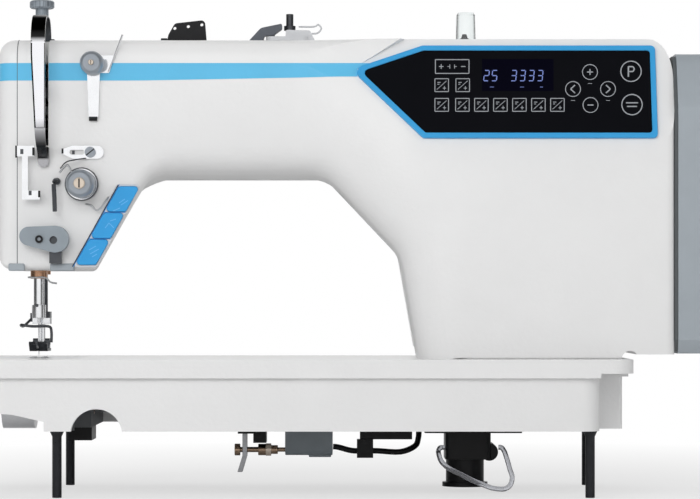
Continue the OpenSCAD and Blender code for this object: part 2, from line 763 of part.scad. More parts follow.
module needle_crank() in_frame() color("silver") {
  difference() {
    union() {
      intersection() {
        rod_x(crank_body_r, crank_x0, crank_x1, 0, shaft_z);
        block(crank_x0, crank_x1, -crank_body_r, crank_body_r, shaft_z - crank_body_r,
          shaft_z + crank_hub_r);
      }
      rod_x(pin_r, link_x1 + part_gap, crank_x0 + past, crank_r, shaft_z);
      rod_x(pin_r + 2, crank_x0 - 3, crank_x0 + past, crank_r, shaft_z);
    }
  }
}
wheel_rim_w = 10;
wheel_web_t = 8;
wheel_hub_r = 16;
module handwheel() in_frame() color("lightslategray") {
  translate([wheel_x0, 0, shaft_z]) rotate([0, 90, 0]) difference() {
    rotate_extrude() polygon([
      [0, 0], [wheel_hub_r, 0], [wheel_hub_r, 6], [wheel_r - wheel_rim_w, 6], [wheel_r - wheel_rim_w, 0],
      [wheel_r - 3, 0], [wheel_r, 3], [wheel_r, wheel_t - 8], [wheel_r - 6, wheel_t - 2],
      [wheel_r - wheel_rim_w - 4, wheel_t - 2], [wheel_r - wheel_rim_w - 8, 6 + wheel_web_t],
      [wheel_hub_r + 2, 6 + wheel_web_t], [wheel_hub_r, wheel_t], [0, wheel_t]]);
    translate([0, 0, -past]) cylinder(r = shaft_r, h = wheel_t - 6 + past);
  }
}

// Motor cover: a shell open to the column
motor_wall = 3;
motor_front = column_front - 2;
motor_rear = arm_rear + 6;
motor_low = 3.5;
motor_sill = arm_top - 29;
motor_slope_z = 167;
motor_lean = 13;
motor_round = 9;
motor_steps = 4;
motor_bevel_y = 4;
motor_bevel_z = 9;
function motor_section(d) = rounded([
  [-motor_front + d, motor_low + motor_bevel_z + d / 2, 1.5],
  [-motor_front + motor_bevel_y + d / 2, motor_low + d, 1.5],
  [motor_rear - d, motor_low + d, 6],
  [motor_rear - d, motor_top - d, 10],
  [-motor_front + motor_lean + d, motor_top - d, 10],
  [-motor_front + d, motor_slope_z, 14]], 4);
motor_n = len(motor_section(0));
function motor_ring(x, d) = [for (p = motor_section(d)) [x, p[0], p[1]]];
motor_rings = concat(
  [motor_ring(column_x1, motor_lip), motor_ring(motor_x0, motor_lip), motor_ring(motor_x0, 0)],
  [for (k = [0:motor_steps])
    let (a = 90 * k / motor_steps)
    motor_ring(motor_x1 - motor_round + motor_round * sin(a), motor_round * (1 - cos(a)))]);
module motor_cover() in_frame() color("slategray") {
  difference() {
    polyhedron([for (r = motor_rings) each r], loft_faces(len(motor_rings), motor_n));
    extrude_x(motor_x0 + 0.6, motor_x1 - motor_round) polygon(motor_section(motor_wall));
    intersection() {
      extrude_x(column_x1 - past, motor_x0 + past) polygon(motor_section(motor_wall));
      block(column_x1 - 2 * past, motor_x0 + 2 * past, -motor_front, motor_rear, 0, motor_sill);
    }
    rod_x(shaft_r + 4, motor_x0, motor_x1 + past, 0, shaft_z);
  }
}

// Needle bar, its link, the needle and the bushes
holder_h = 12;
holder_r = 7;
stud_r = 3;
clamp_r = 4.8;
clamp_h = 9;
module needle_bar() in_frame() color("silver") {
  difference() {
    union() {
      rod_z(needle_bar_r, 0, 0, bar_bottom, bar_top);
      rod_z(clamp_r, 0, 0, bar_bottom, bar_bottom + clamp_h);
      rod_z(holder_r, 0, 0, stud_z - holder_h / 2, stud_z + holder_h / 2);
      rod_x(stud_r, 0, link_x1 + 1, 0, stud_z);
    }
    rod_z(1, 0, 0, bar_bottom - past, bar_bottom + clamp_h + 2);
  }
}
shank_h = clamp_h + 1.5;
module needle() in_frame() color("silver") {
  rod_z(0.95, 0, 0, bar_bottom - 3, bar_bottom + shank_h);
  rod_z(needle_r, 0, 0, needle_tip + 4, bar_bottom - 3 + past);
  translate([0, 0, needle_tip]) cylinder(r1 = 0.12, r2 = needle_r, h = 4);
}
eye_r = 6;
module link_body() {
  angle = asin(crank_r / link_len);
  translate([0, 0, stud_z]) rotate([-angle, 0, 0]) difference() {
    union() {
      rod_x(eye_r, link_x0, link_x1, 0, 0);
      rod_x(eye_r, link_x0, link_x1, 0, link_len);
      block(link_x0 + 0.7, link_x1 - 0.7, -3, 3, 0, link_len);
    }
    rod_x(stud_r + run_gap, link_x0 - past, link_x1 + past, 0, 0);
    rod_x(pin_r + run_gap, link_x0 - past, link_x1 + past, 0, link_len);
  }
}
module needle_link() in_frame() color("silver") link_body();
presser_bush_z0 = head_bottom - 2.5;
module bar_bushes() in_frame() color("peru") {
  bush_z(needle_bar_r, bar_bush_r, 0, 0, lower_bush_z0, lower_bush_z1);
  bush_z(needle_bar_r, bar_bush_r, 0, 0, upper_bush_z0, upper_bush_z1);
  bush_z(presser_r, presser_bush_r, presser_x, presser_y, presser_bush_z0, lower_bush_z1);
}

// Thread take-up lever and the guard over it
eyelet_r = 4;
take_up_hub_r = 7;
module take_up_lever() in_frame() color("silver") {
  x0 = take_up_x - take_up_t / 2;
  x1 = take_up_x + take_up_t / 2;
  difference() {
    union() {
      rod_x(take_up_hub_r, x0, x1, take_up_y, take_up_z);
      extrude_x(x0, x1) polygon([
        [take_up_y, take_up_z - 6], [take_up_y - take_up_reach, take_up_z - 2.5],
        [take_up_y - take_up_reach, take_up_z + 2.5], [take_up_y, take_up_z + 6]]);
      rod_x(eyelet_r, x0 + 0.8, x1 - 0.8, take_up_y - take_up_reach, take_up_z);
      rod_x(take_up_pin_r, -bar_web_x, x1 + 1, take_up_y, take_up_z);
    }
    rod_x(1.4, x0 - past, x1 + past, take_up_y - take_up_reach, take_up_z);
  }
}
guard_x1 = 10.3;
guard_top_w = 9.5;
guard_low_w = 6;
guard_t = 1.6;
guard_out = arm_front + 19;
guard_peak = arm_top + 16;
guard_foot_z = slot_low - 10;
guard_foot_w = 7.6;
guard_back = 17;
function guard_line(d) = rounded_open([
  [-arm_front - guard_t, guard_foot_z + d, 0], [-guard_out + d, guard_foot_z + 14, 16 - d],
  [-guard_out + d, guard_peak - d, 20 - d], [-guard_back - d, guard_peak - d, 16 - d],
  [-guard_back - d, arm_top, 0]], 6);
module take_up_guard() in_frame() color("gainsboro") {
  intersection() {
    extrude_x(guard_x1 - guard_top_w, guard_x1)
      polygon(concat(guard_line(0), reverse_list(guard_line(guard_t))));
    extrude_y(-guard_out - past, 0) polygon(rounded([
      [guard_x1 - guard_low_w, guard_foot_z - past, 2], [guard_x1, guard_foot_z - past, 2],
      [guard_x1, guard_peak + past, 3], [guard_x1 - guard_top_w, guard_peak + past, 3],
      [guard_x1 - guard_top_w, arm_top - 12, 10]]));
  }
  extrude_y(-arm_front - 2 * guard_t, -arm_front) polygon(rounded([
    [guard_x1 + 1 - guard_foot_w, guard_foot_z - 4.4, 3.6], [guard_x1 + 1, guard_foot_z - 4.4, 3.6],
    [guard_x1 + 1, slot_low - 1, 1], [guard_x1 + 1 - guard_foot_w, slot_low - 1, 1]], 4));
  block(guard_x1 - guard_low_w, guard_x1 + 2, -guard_back - guard_t, -guard_back + 12, arm_top,
    arm_top + guard_t);
}
function reverse_list(p) = [for (i = [len(p) - 1:-1:0]) p[i]];

// Presser bar, spring, screw, foot and guard
pressure_r = 4.5;
screw_head = 8.5;
module presser_bar() in_frame() color("silver") {
  rod_z(presser_r, presser_x, presser_y, foot_lift + foot_socket, presser_shoulder_z + 20);
  rod_z(spring_r + 1.5, presser_x, presser_y, presser_shoulder_z - 6, presser_shoulder_z);
}
spring_steps = 10;
module presser_spring() in_frame() color("silver") {
  n = spring_turns * spring_steps;
  low = presser_shoulder_z + spring_wire_r + 0.1;
  high = spring_top - spring_wire_r - 0.1;
  tube([for (i = [0:n]) [presser_x + spring_r * cos(360 * i / spring_steps),
    presser_y + spring_r * sin(360 * i / spring_steps), low + (high - low) * i / n]], spring_wire_r, 6);
}
module pressure_screw() in_frame() color("slategray") {
  rod_z(pressure_r, presser_x, presser_y, spring_top, screw_top - 5);
  rod_z(pressure_r + 1.5, presser_x, presser_y, arm_top + part_gap, arm_top + 5);
  translate([presser_x, presser_y, screw_top - 5.5]) rotate_extrude() polygon([
    [0, 0], [screw_head - 1, 0], [screw_head, 1], [screw_head, 4.5], [screw_head - 1, 5.5], [0, 5.5]]);
}
foot_top = foot_lift + 27;
foot_socket = 19.5;
foot_pin_y = 12;
foot_pin_z = foot_lift + 5.6;
foot_pin_r = 1.5;
sole_t = 1.8;
sole_half = 6.2;
module presser_foot() in_frame() color("dimgray") {
  difference() {
    union() {
      block(presser_x - 6, presser_x + 6, presser_y - 6, presser_y + 6, foot_lift + foot_socket - 1,
        foot_top);
      block(presser_x - 2, presser_x + 2, foot_pin_y - 3, foot_pin_y + 5, foot_pin_z - 2.5,
        foot_lift + foot_socket);
    }
    rod_z(presser_r, presser_x, presser_y, foot_lift + foot_socket, foot_top + past);
    rod_x(foot_pin_r + run_gap, -10, 10, foot_pin_y, foot_pin_z);
  }
}
module presser_sole() in_frame() color("dimgray") {
  difference() {
    union() {
      extrude_x(presser_x - sole_half, presser_x + sole_half) polygon([
        [-13.4, foot_lift + 5.4], [-12.2, foot_lift + 6.6], [-7, foot_lift + sole_t],
        [15, foot_lift + sole_t], [15, foot_lift + 0.4], [14, foot_lift], [-7.6, foot_lift]]);
      for (s = [-1, 1])
        extrude_x(presser_x + s * 4.1 - 1.6, presser_x + s * 4.1 + 1.6) polygon(rounded([
          [foot_pin_y - 4.5, foot_lift + 1, 0], [foot_pin_y + 3, foot_lift + 1, 0],
          [foot_pin_y + 3, foot_pin_z + 3, 2], [foot_pin_y - 3, foot_pin_z + 3, 2]], 4));
      rod_x(foot_pin_r, presser_x - 6, presser_x + 6, foot_pin_y, foot_pin_z);
    }
    rod_z(1.3, 0, 0, foot_lift - past, foot_lift + 9);
    block(-0.7, 0.7, -14, 0, foot_lift - past, foot_lift + 9);
  }
}
guard_wire_r = 0.95;
guard_y = -11;
module finger_guard() in_frame() color("dimgray") {
  z = foot_lift + 16;
  tube(smooth_path([
    [presser_x - 6.9, presser_y - 4, z + 6], [presser_x - 11.5, 4, z + 1], [presser_x - 11.5, guard_y, z + 2],
    [presser_x - 4, guard_y - 1, z + 1], [presser_x + 7, guard_y - 1, z + 1], [presser_x + 9, guard_y, z - 2],
    [presser_x + 9, guard_y, z - 10]], 4), guard_wire_r, 8);
  block(presser_x - 7.6, presser_x - 6, presser_y - 5.5, presser_y + 4, z + 4, foot_top - 1);
}

// Hand lever at the back that lifts the presser foot
lifter_x = 20;
lifter_z = 112;
lifter_pin_r = 4;
lifter_t = 5;
module hand_lifter() in_frame() color("silver") {
  y0 = arm_rear + part_gap;
  rod_y(lifter_pin_r, lifter_x, chamber_rear - 4, y0 + lifter_t, lifter_z);
  rod_y(8, lifter_x, y0, y0 + lifter_t, lifter_z);
  extrude_y(y0, y0 + lifter_t) polygon(rounded([
    [lifter_x - 6, lifter_z, 2], [lifter_x - 14, lifter_z - 36, 4], [lifter_x - 4, lifter_z - 39, 4],
    [lifter_x + 6, lifter_z, 2]], 4));
  extrude_y(y0 + lifter_t - past, y0 + lifter_t + 10) polygon(rounded([
    [lifter_x - 11.5, lifter_z - 25, 2], [lifter_x - 14, lifter_z - 36, 3], [lifter_x - 4, lifter_z - 39, 3],
    [lifter_x - 1.5, lifter_z - 25, 2]], 4));
}

// Needle plate and slide plate
needle_plate_x0 = -17;
slot_room = feed_swing + 0.4;
module needle_plate() in_frame() color("silver") {
  difference() {
    block(needle_plate_x0, plate_right - slide_gap, -plate_half_w + slide_gap, plate_half_w - slide_gap,
      -plate_t, 0);
    for (s = [-1, 1])
      block(s * (dog_half_x + dog_slot_half) / 2 - 2.1, s * (dog_half_x + dog_slot_half) / 2 + 2.1,
        -dog_half_y - slot_room, dog_half_y + slot_room, -plate_t - past, past);
    rod_z(1, 0, 0, -plate_t - past, past);
    for (y = [-plate_half_w + 6, plate_half_w - 6])
      rod_z(2.6, plate_right - 7, y, -plate_t / 2, past);
  }
}
module slide_plate() in_frame() color("silver") {
  difference() {
    block(bed_x0 + 2, needle_plate_x0 - slide_gap, -plate_half_w + slide_gap, plate_half_w - slide_gap,
      -plate_t, 0);
    block(bed_x0 + 8, bed_x0 + 10.5, -8, 8, -plate_t / 2, past);
  }
}

// Feed: dog on a bar that hangs from a rocking shaft
tooth_pitch = 1.6;
module feed_dog() in_frame() color("silver") {
  tooth_n = floor(2 * dog_half_y / tooth_pitch);
  for (s = [-1, 1]) {
    x0 = s > 0 ? dog_slot_half : -dog_half_x;
    extrude_x(x0, x0 + dog_half_x - dog_slot_half) polygon(concat(
      [[dog_half_y, dog_base_z], [-dog_half_y, dog_base_z]],
      [for (i = [0:tooth_n - 1])
        let (y = -dog_half_y + i * tooth_pitch)
        each [[y, dog_top], [y + tooth_pitch, dog_top - 0.9]]],
      [[dog_half_y, dog_top - 0.9]]));
  }
  block(-dog_half_x, dog_half_x, dog_half_y - 5, dog_half_y, dog_base_z, -plate_t - 0.6);
  block(-dog_half_x, dog_half_x, -dog_half_y, -dog_half_y + 5, dog_base_z, -plate_t - 0.6);
}
module feed_bar() in_frame() color("gray") {
  difference() {
    union() {
      block(-dog_half_x, dog_half_x, -dog_half_y, rock_y, bar_base_z, dog_base_z);
      rod_x(rock_pin_r + 1.5, -dog_half_x, dog_half_x, rock_y, rock_pin_z);
    }
    block(-2.2, 2.2, -dog_half_y + 4, 16, bar_base_z - past, dog_base_z + past);
    rod_x(rock_pin_r + run_gap, -dog_half_x - past, dog_half_x + past, rock_y, rock_pin_z);
  }
}
module feed_rock_shaft() in_frame() color("gray") {
  rod_x(rock_r, rock_x0, rock_x1 + 4, rock_y, rock_z);
  for (x = [-dog_half_x - 5.4, dog_half_x + 0.4])
    extrude_x(x, x + 5) polygon(rounded([
      [rock_y - 7, rock_z - 7, 5], [rock_y + 7, rock_z - 7, 5], [rock_y + 5, rock_pin_z + 4, 4],
      [rock_y - 5, rock_pin_z + 4, 4]], 4));
  rod_x(rock_pin_r, -dog_half_x - 2, dog_half_x + 2, rock_y, rock_pin_z);
}

// Rotary hook, bobbin case, bobbin and the hook shaft
module rotating_hook() in_frame() color("silver") {
  difference() {
    union() {
      rod_x(hook_r, hook_x0, hook_x1, 0, hook_z);
      rod_x(hook_shaft_r + 4, hook_x1 - past, hook_x1 + 12, 0, hook_z);
    }
    rod_x(hook_r - hook_wall, hook_x0 - past, hook_x1 - 2, 0, hook_z);
    rod_x(hook_shaft_r, hook_x1 + 2, hook_x1 + 12 + past, 0, hook_z);
    block(hook_x0 - past, hook_x0 + 9, 2, hook_r + past, hook_z + 4, hook_z + hook_r + past);
  }
}
module bobbin_case() in_frame() color("gainsboro") {
  outer = hook_r - hook_wall - 0.4;
  difference() {
    rod_x(outer, hook_x0 + 1, hook_x1 - 2.5, 0, hook_z);
    rod_x(outer - case_wall, hook_x0, hook_x1 - 4, 0, hook_z);
  }
  rod_x(2.9, hook_x0 + 2, hook_x1 - 3, 0, hook_z);
}
module bobbin() in_frame() color("silver") {
  x0 = hook_x0 + 3.5;
  x1 = hook_x1 - 5;
  difference() {
    union() {
      rod_x(bobbin_r, x0, x0 + 1, 0, hook_z);
      rod_x(bobbin_r, x1 - 1, x1, 0, hook_z);
      rod_x(bobbin_r - 3, x0, x1, 0, hook_z);
    }
    rod_x(2.9 + run_gap, x0 - past, x1 + past, 0, hook_z);
  }
}
module hook_shaft() in_frame() color("silver") {
  rod_x(hook_shaft_r, hook_x1 + 2, vertical_x - low_gear_r + 2, 0, hook_z);
  translate([vertical_x - low_gear_r, 0, hook_z]) rotate([0, 90, 0])
    bevel_gear(hook_gear_r, hook_teeth, low_gear_r, 0);
}
module vertical_shaft() in_frame() color("silver") {
  rod_z(vertical_r, vertical_x, 0, hook_z + hook_gear_r - 3, shaft_z - gear_r + 3);
  translate([vertical_x, 0, shaft_z - gear_r]) bevel_gear(gear_r, gear_teeth, gear_r, 180 / gear_teeth);
  rod_z(gear_hub_r, vertical_x, 0, upper_web_z1 + part_gap, shaft_z - gear_r + fit_gap);
  translate([vertical_x, 0, hook_z + hook_gear_r]) mirror([0, 0, 1])
    bevel_gear(low_gear_r, low_teeth, hook_gear_r, 180 / low_teeth);
  rod_z(gear_hub_r, vertical_x, 0, hook_z + hook_gear_r - fit_gap, -bed_top_t - part_gap);
}

// Control panel on the leaning face
panel_len = (arm_top - 5.1 - panel_bottom) / cos(panel_lean);
panel_tip_x = flare_x1 - 48;
panel_tip_s = panel_len * 0.74;
panel_right = column_x1 - 11.6;
panel_t = 2.4;
panel_corners = [
  [flare_x1, 0, 3], [panel_right, 0, 3], [panel_right, panel_len, 3], [flare_x1, panel_len, 3],
  [panel_tip_x, panel_tip_s, 5]];
function panel_inset(d) =
  let (n = len(panel_corners))
  [for (i = [0:n - 1])
    let (p = inset_corner(flat(panel_corners[(i + n - 1) % n]), flat(panel_corners[i]),
      flat(panel_corners[(i + 1) % n]), d))
    [p[0], p[1], i == n - 1 ? 3 : 2]];
module panel_bezel() in_frame() color("deepskyblue") {
  panel_frame() difference() {
    extrude_y(-panel_t, 0) polygon(rounded(panel_corners, 3));
    extrude_y(-panel_t - past, past) polygon(rounded(panel_inset(bezel_w), 3));
  }
}
module control_panel() in_frame() color("black") {
  panel_frame() extrude_y(-panel_t + 0.5, 0) polygon(rounded(panel_inset(bezel_w + fit_gap), 3));
}

// Three keys in a holder along the slope of the head
key_low = head_bottom + 3.3;
key_high = arm_under - 8.4;
key_gap = 0.8;
key_h = (key_high - key_low - 2 * key_gap) / 3;
key_w = 14.2;
holder_t = 3;
key_slope = diagonal_run / (arm_under - head_bottom);
function key_x(z) = head_right + (z - head_bottom) * key_slope - 1.9;
function key_outline(z0, z1, d) = rounded([
  [key_x(z0) - key_w - d, z0 - d, 2], [key_x(z0) + d * 0.4, z0 - d, 2],
  [key_x(z1) + d * 0.4, z1 + d, 2], [key_x(z1) - key_w - d, z1 + d, 2]], 3);
function key_z(i) = key_low + i * (key_h + key_gap);
module head_key(i) {
  extrude_y(-arm_front - holder_t - 1.5, -arm_front - key_travel - 0.2)
    polygon(key_outline(key_z(i), key_z(i) + key_h, 0));
}
module key_holder() in_frame() color("lightgray") {
  difference() {
    extrude_y(-arm_front - holder_t, -arm_front)
      polygon(key_outline(key_low, key_high, 1.5));
    for (i = [0:2])
      extrude_y(-arm_front - holder_t - past, past)
        polygon(key_outline(key_z(i), key_z(i) + key_h, slide_gap));
  }
}
module key_bottom() in_frame() color("dodgerblue") head_key(0);
module key_middle() in_frame() color("dodgerblue") head_key(1);
module key_top() in_frame() color("dodgerblue") head_key(2);

// Thread guides on the front of the arm, with the stud of the pretension knob
pretension_x = 40.4;
pretension_z = arm_top - 17;
knob_stud_r = 1.6;
sheet_t = 1.5;
slot_guide_x = 34;
slot_guide_z = arm_under + 14.5;
bracket_x = -4.2;
bracket_low = 106.5;
bracket_high = 142.5;
bracket_out = 8;
guide_pin_x = 15.6;
guide_pin_z = arm_under - 5;
guide_pin_r = 1.5;
module front_guides() in_frame() color("gainsboro") {
  face = -arm_front;
  extrude_y(face - sheet_t, face) polygon(rounded([
    [pretension_x - 2.5, pretension_z - 36, 0.6], [pretension_x + 4, pretension_z - 36, 0.6],
    [pretension_x + 5, pretension_z - 6.3, 1], [pretension_x + 11.3, pretension_z - 6.3, 1],
    [pretension_x + 14.7, pretension_z + 5.5, 1], [pretension_x - 4, pretension_z + 5.5, 2]], 3));
  rod_x(1.5, pretension_x - 2.2, pretension_x + 3.2, face - 1.6, pretension_z - 37);
  tube([
    [pretension_x + 10.6, face - 1, pretension_z - 5.6], [pretension_x + 15.4, face - 1, pretension_z + 6.9],
    [pretension_x + 20.2, face - 1, pretension_z + 19.4]], 0.7, 8);
  rod_y(knob_stud_r, pretension_x, face - 14, face, pretension_z);
  difference() {
    extrude_y(face - sheet_t, face) polygon(rounded([
      [slot_guide_x - 14, slot_guide_z - 1, 1], [slot_guide_x - 7, slot_guide_z - 4.4, 4],
      [slot_guide_x + 14, slot_guide_z - 4.4, 4.3], [slot_guide_x + 14, slot_guide_z + 4.4, 4.3],
      [slot_guide_x - 7, slot_guide_z + 4.4, 4], [slot_guide_x - 14, slot_guide_z + 2, 1]], 4));
    extrude_y(face - sheet_t - past, face + past) polygon(rounded(
      rect(slot_guide_x - 9, slot_guide_x + 1, slot_guide_z - 1.6, slot_guide_z + 1.6, 1.5), 3));
  }
  rod_y(3.6, slot_guide_x + 5, face - sheet_t - 2.2, face - sheet_t, slot_guide_z);
  block(bracket_x - 2, bracket_x + 2, face - bracket_out, face - bracket_out + sheet_t, bracket_low,
    bracket_high);
  block(bracket_x - 6, bracket_x + 6.2, face - bracket_out, face - bracket_out + sheet_t,
    bracket_high - 7, bracket_high);
  block(bracket_x - 2, bracket_x + 10, face - bracket_out, face - bracket_out + sheet_t, bracket_low,
    bracket_low + 6);
  block(bracket_x - 2, bracket_x + 2, face - bracket_out, face, bracket_high - 6, bracket_high - 4.5);
  block(bracket_x + 4, bracket_x + 8, face - bracket_out, face, bracket_low + 1, bracket_low + 2.5);
  rod_y(guide_pin_r + 0.8, guide_pin_x + 1, face - 2, face, guide_pin_z);
  tube(smooth_path([
    [guide_pin_x + 1, face - 1, guide_pin_z], [guide_pin_x + 0.4, face - 6, guide_pin_z + 0.6],
    [guide_pin_x - 0.4, face - 9, guide_pin_z - 2.5], [guide_pin_x, face - 9, guide_pin_z - 11],
    [guide_pin_x + 0.2, face - 8, guide_pin_z - 20.5]], 3), guide_pin_r, 8);
}
knob_gap = 0.4;
module knob(r, x, z, y0, y1, bore) {
  difference() {
    translate([x, y1, z]) rotate([90, 0, 0]) rotate_extrude() polygon([
      [0, 0], [r, 0], [r, (y1 - y0) * 0.62], [r - 1.2, y1 - y0 - 1], [r - 2.4, y1 - y0], [0, y1 - y0]]);
    rod_y(bore + run_gap, x, y0 - past, y1 + past, z);
  }
}
module pretension_knob() in_frame() color("gray") {
  knob(pretension_r, pretension_x, pretension_z, -arm_front - 13, -arm_front - sheet_t - knob_gap,
    knob_stud_r);
}
tension_x = 33.3;
tension_z = arm_under - 7;
tension_stud_r = 3;
tension_out = 22;
module tension_base() in_frame() color("silver") {
  face = -arm_front;
  rod_y(tension_r + 1.7, tension_x, face - 4, face, tension_z);
  rod_y(tension_r - 0.5, tension_x, face - 6, face - 4, tension_z);
  rod_y(tension_r - 1.5, tension_x, face - 7, face - 6, tension_z);
  rod_y(tension_stud_r, tension_x, face - tension_out, face, tension_z);
}
module tension_knob() in_frame() color("silver") {
  knob(tension_r, tension_x, tension_z, -arm_front - tension_out + 1.5, -arm_front - 9.2, tension_stud_r);
}
check_wire_r = 0.7;
module check_spring() in_frame() color("silver") {
  y = -arm_front - 8.1;
  difference() {
    rod_y(tension_r - 1, tension_x, y - check_wire_r, y + check_wire_r, tension_z);
    rod_y(tension_stud_r + run_gap, tension_x, y - 2, y + 2, tension_z);
  }
  tube(smooth_path([[tension_x - 5, y, tension_z + 5], [tension_x - 8.6, y, tension_z + 12.4],
    [tension_x - 11, y, tension_z + 11.5], [tension_x - 14.4, y, tension_z + 7.4]], 3), check_wire_r, 8);
}

// Fittings on top of the arm
guide_x0 = 83.8;
guide_w = 31.5;
guide_hole_r = 1.1;
guide_pitch = 9.25;
module top_guide() in_frame() color("dimgray") {
  difference() {
    union() {
      block(guide_x0, guide_x0 + guide_w, -8, 8, arm_top, arm_top + 1.6);
      extrude_y(-2, 2) polygon(rounded([
        [guide_x0 + 4, arm_top + 1, 0], [guide_x0 + guide_w - 0.2, arm_top + 1, 0],
        [guide_x0 + guide_w - 1.5, arm_top + 16.2, 2.5], [guide_x0 + 9.5, arm_top + 13.9, 3],
        [guide_x0 + 5, arm_top + 6, 4]], 4));
    }
    for (i = [0:2])
      rod_y(guide_hole_r, guide_x0 + 9.4 + i * guide_pitch, -4, 4, arm_top + 10.6 + i * 1.2);
  }
}
spindle_x = 172;
spindle_r = 2.5;
winder_top = arm_top + 8.6;
module winder_base() in_frame() color("lightgray") {
  difference() {
    union() {
      extrude_z(arm_top, arm_top + 4) polygon(rounded(rect(spindle_x - 16, spindle_x + 14, -14, 14, 5)));
      extrude_y(-12, 12) polygon(rounded([
        [spindle_x - 3, arm_top, 0], [spindle_x + 18, arm_top, 0], [spindle_x + 14, winder_top - 0.4, 1.5],
        [spindle_x - 2.4, winder_top, 1]], 3));
    }
    rod_z(spindle_r + run_gap, spindle_x, 0, arm_top + 2, winder_top + past);
    rod_z(2 + run_gap, spindle_x - 12, -8, arm_top + 2, winder_top + past);
  }
  tube(smooth_path([
    [spindle_x + 10, 6, arm_top + 7], [spindle_x + 15, 6, arm_top + 7.5], [spindle_x + 19, 6, arm_top + 7.9],
    [spindle_x + 21.6, 6, arm_top + 11], [spindle_x + 19.4, 6, arm_top + 13.8],
    [spindle_x + 16.5, 6, arm_top + 12.3], [spindle_x + 6, 6, arm_top + 12.3]], 3), 0.6, 8);
}
module winder_spindle() in_frame() color("dimgray") {
  rod_z(spindle_r, spindle_x, 0, arm_top + 2.2, arm_top + 20.3);
  rod_z(4, spindle_x, 0, winder_top + part_gap, arm_top + 12.2);
}
module winder_latch() in_frame() color("slategray") {
  rod_z(2, spindle_x - 12, -8, arm_top + 2.2, arm_top + 6);
  extrude_y(-13, -4.5) polygon(rounded([
    [spindle_x - 28, arm_top + 0.6, 0.5], [spindle_x - 18, arm_top + 0.6, 1],
    [spindle_x - 17, arm_top + 4.5, 1], [spindle_x - 11.5, arm_top + 4.5, 1],
    [spindle_x - 5, arm_top + 9.2, 1], [spindle_x - 5, arm_top + 12.8, 1],
    [spindle_x - 19.5, arm_top + 9.8, 5]], 4));
}
window_x = throat_x + 33.3;
window_r = 6.9;
module oil_window() in_frame() color("lightblue") {
  rod_z(window_r + 1.2, window_x, 4, arm_top, arm_top + 1.6);
  translate([window_x, 4, arm_top + 1.5]) cylinder(r1 = window_r, r2 = window_r - 0.5, h = 18.6);
  translate([window_x, 4, arm_top + 20]) cylinder(r1 = window_r - 0.5, r2 = window_r - 1.4, h = 1.6);
}

// Thread wiper cover low on the head
wiper_x = 16;
wiper_z = head_bottom + 20.5;
wiper_out = 10;
module wiper_cover() in_frame() color("slategray") {
  difference() {
    extrude_y(-arm_front - wiper_out, -arm_front) hull() {
      translate([wiper_x, wiper_z]) circle(r = 9, $fn = 32);
      translate([wiper_x - 17.5, wiper_z + 2]) circle(r = 6.3, $fn = 32);
    }
    rod_y(2.6, wiper_x - 1, -arm_front - wiper_out - past, -arm_front - wiper_out + 3, wiper_z - 0.6);
  }
  difference() {
    rod_y(2.6, wiper_x - 10.5, -arm_front - wiper_out - 1.2, -arm_front - wiper_out, wiper_z);
    rod_y(1.2, wiper_x - 10.5, -arm_front - wiper_out - 2, -arm_front - wiper_out + past, wiper_z);
  }
  block(wiper_x - 4, wiper_x + 4, -arm_front - 7, -arm_front, wiper_z - 16, wiper_z - 8.4);
}

// Oil pump under the column and its hose
pump_flange_t = 4;
pump_x0 = vertical_x - 19;
pump_x1 = vertical_x + 12;
pump_y0 = -22;
pump_y1 = 18;
pump_low = -apron_d - 22;
strainer_r = 13;
strainer_x = vertical_x - 5;
module oil_pump() in_frame() color("black") {
  block(vertical_x - pump_half_x - rib_t / 2, vertical_x + pump_half_x + rib_t / 2, pump_y0, pump_y1,
    -apron_d - pump_flange_t, -apron_d);
  extrude_z(pump_low, -apron_d - pump_flange_t + fit_gap)
    polygon(rounded(rect(pump_x0, pump_x1, pump_y0, pump_y1, 4), 4));
  rod_y(6, pump_x1 - 1, pump_y0 + 4, pump_y1 - 4, pump_low + 5);
  rod_z(strainer_r, strainer_x, -2, floor_z + 6.4, pump_low + fit_gap);
  rod_z(strainer_r + 2.5, strainer_x, -2, floor_z + 3.4, floor_z + 6.4 + fit_gap);
}
hose_r = 1.7;
hose_y = pump_y0 - 5.5;
hose_z = -apron_d - 14;
hose_points = [
  [pump_x0 - 0.3, pump_y0 + 6, hose_z], [pump_x0 - 2.5, pump_y0 + 6, hose_z],
  [pump_x0 - 4.2, pump_y0 + 3, hose_z - 1],
  [pump_x0 - 4.5, pump_y0 - 3, hose_z - 4.5], [pump_x0 - 2, hose_y, hose_z - 10],
  [pump_x0 + 12, hose_y - 0.5, hose_z - 18.5], [pump_x0 + 25, hose_y - 0.5, hose_z - 24.5],
  [pump_x1 + 4, hose_y - 0.5, hose_z - 27.4], [pump_x1 + 11, hose_y, hose_z - 26.5],
  [pump_x1 + 14, hose_y, hose_z - 20.5], [pump_x1 + 12, pump_y0 - 3.5, hose_z - 14],
  [pump_x1 + 10.5, pump_y0 + 1, hose_z - 6], [pump_x1 + 9, pump_y0 + 5, hose_z - 1.5],
  [pump_x1 + 7, pump_y0 + 7, hose_z], [pump_x1 + 5.3, pump_y0 + 7, hose_z]];
module oil_hose() in_frame() color("lightgray") tube(smooth_path(hose_points, 4), hose_r, 10);

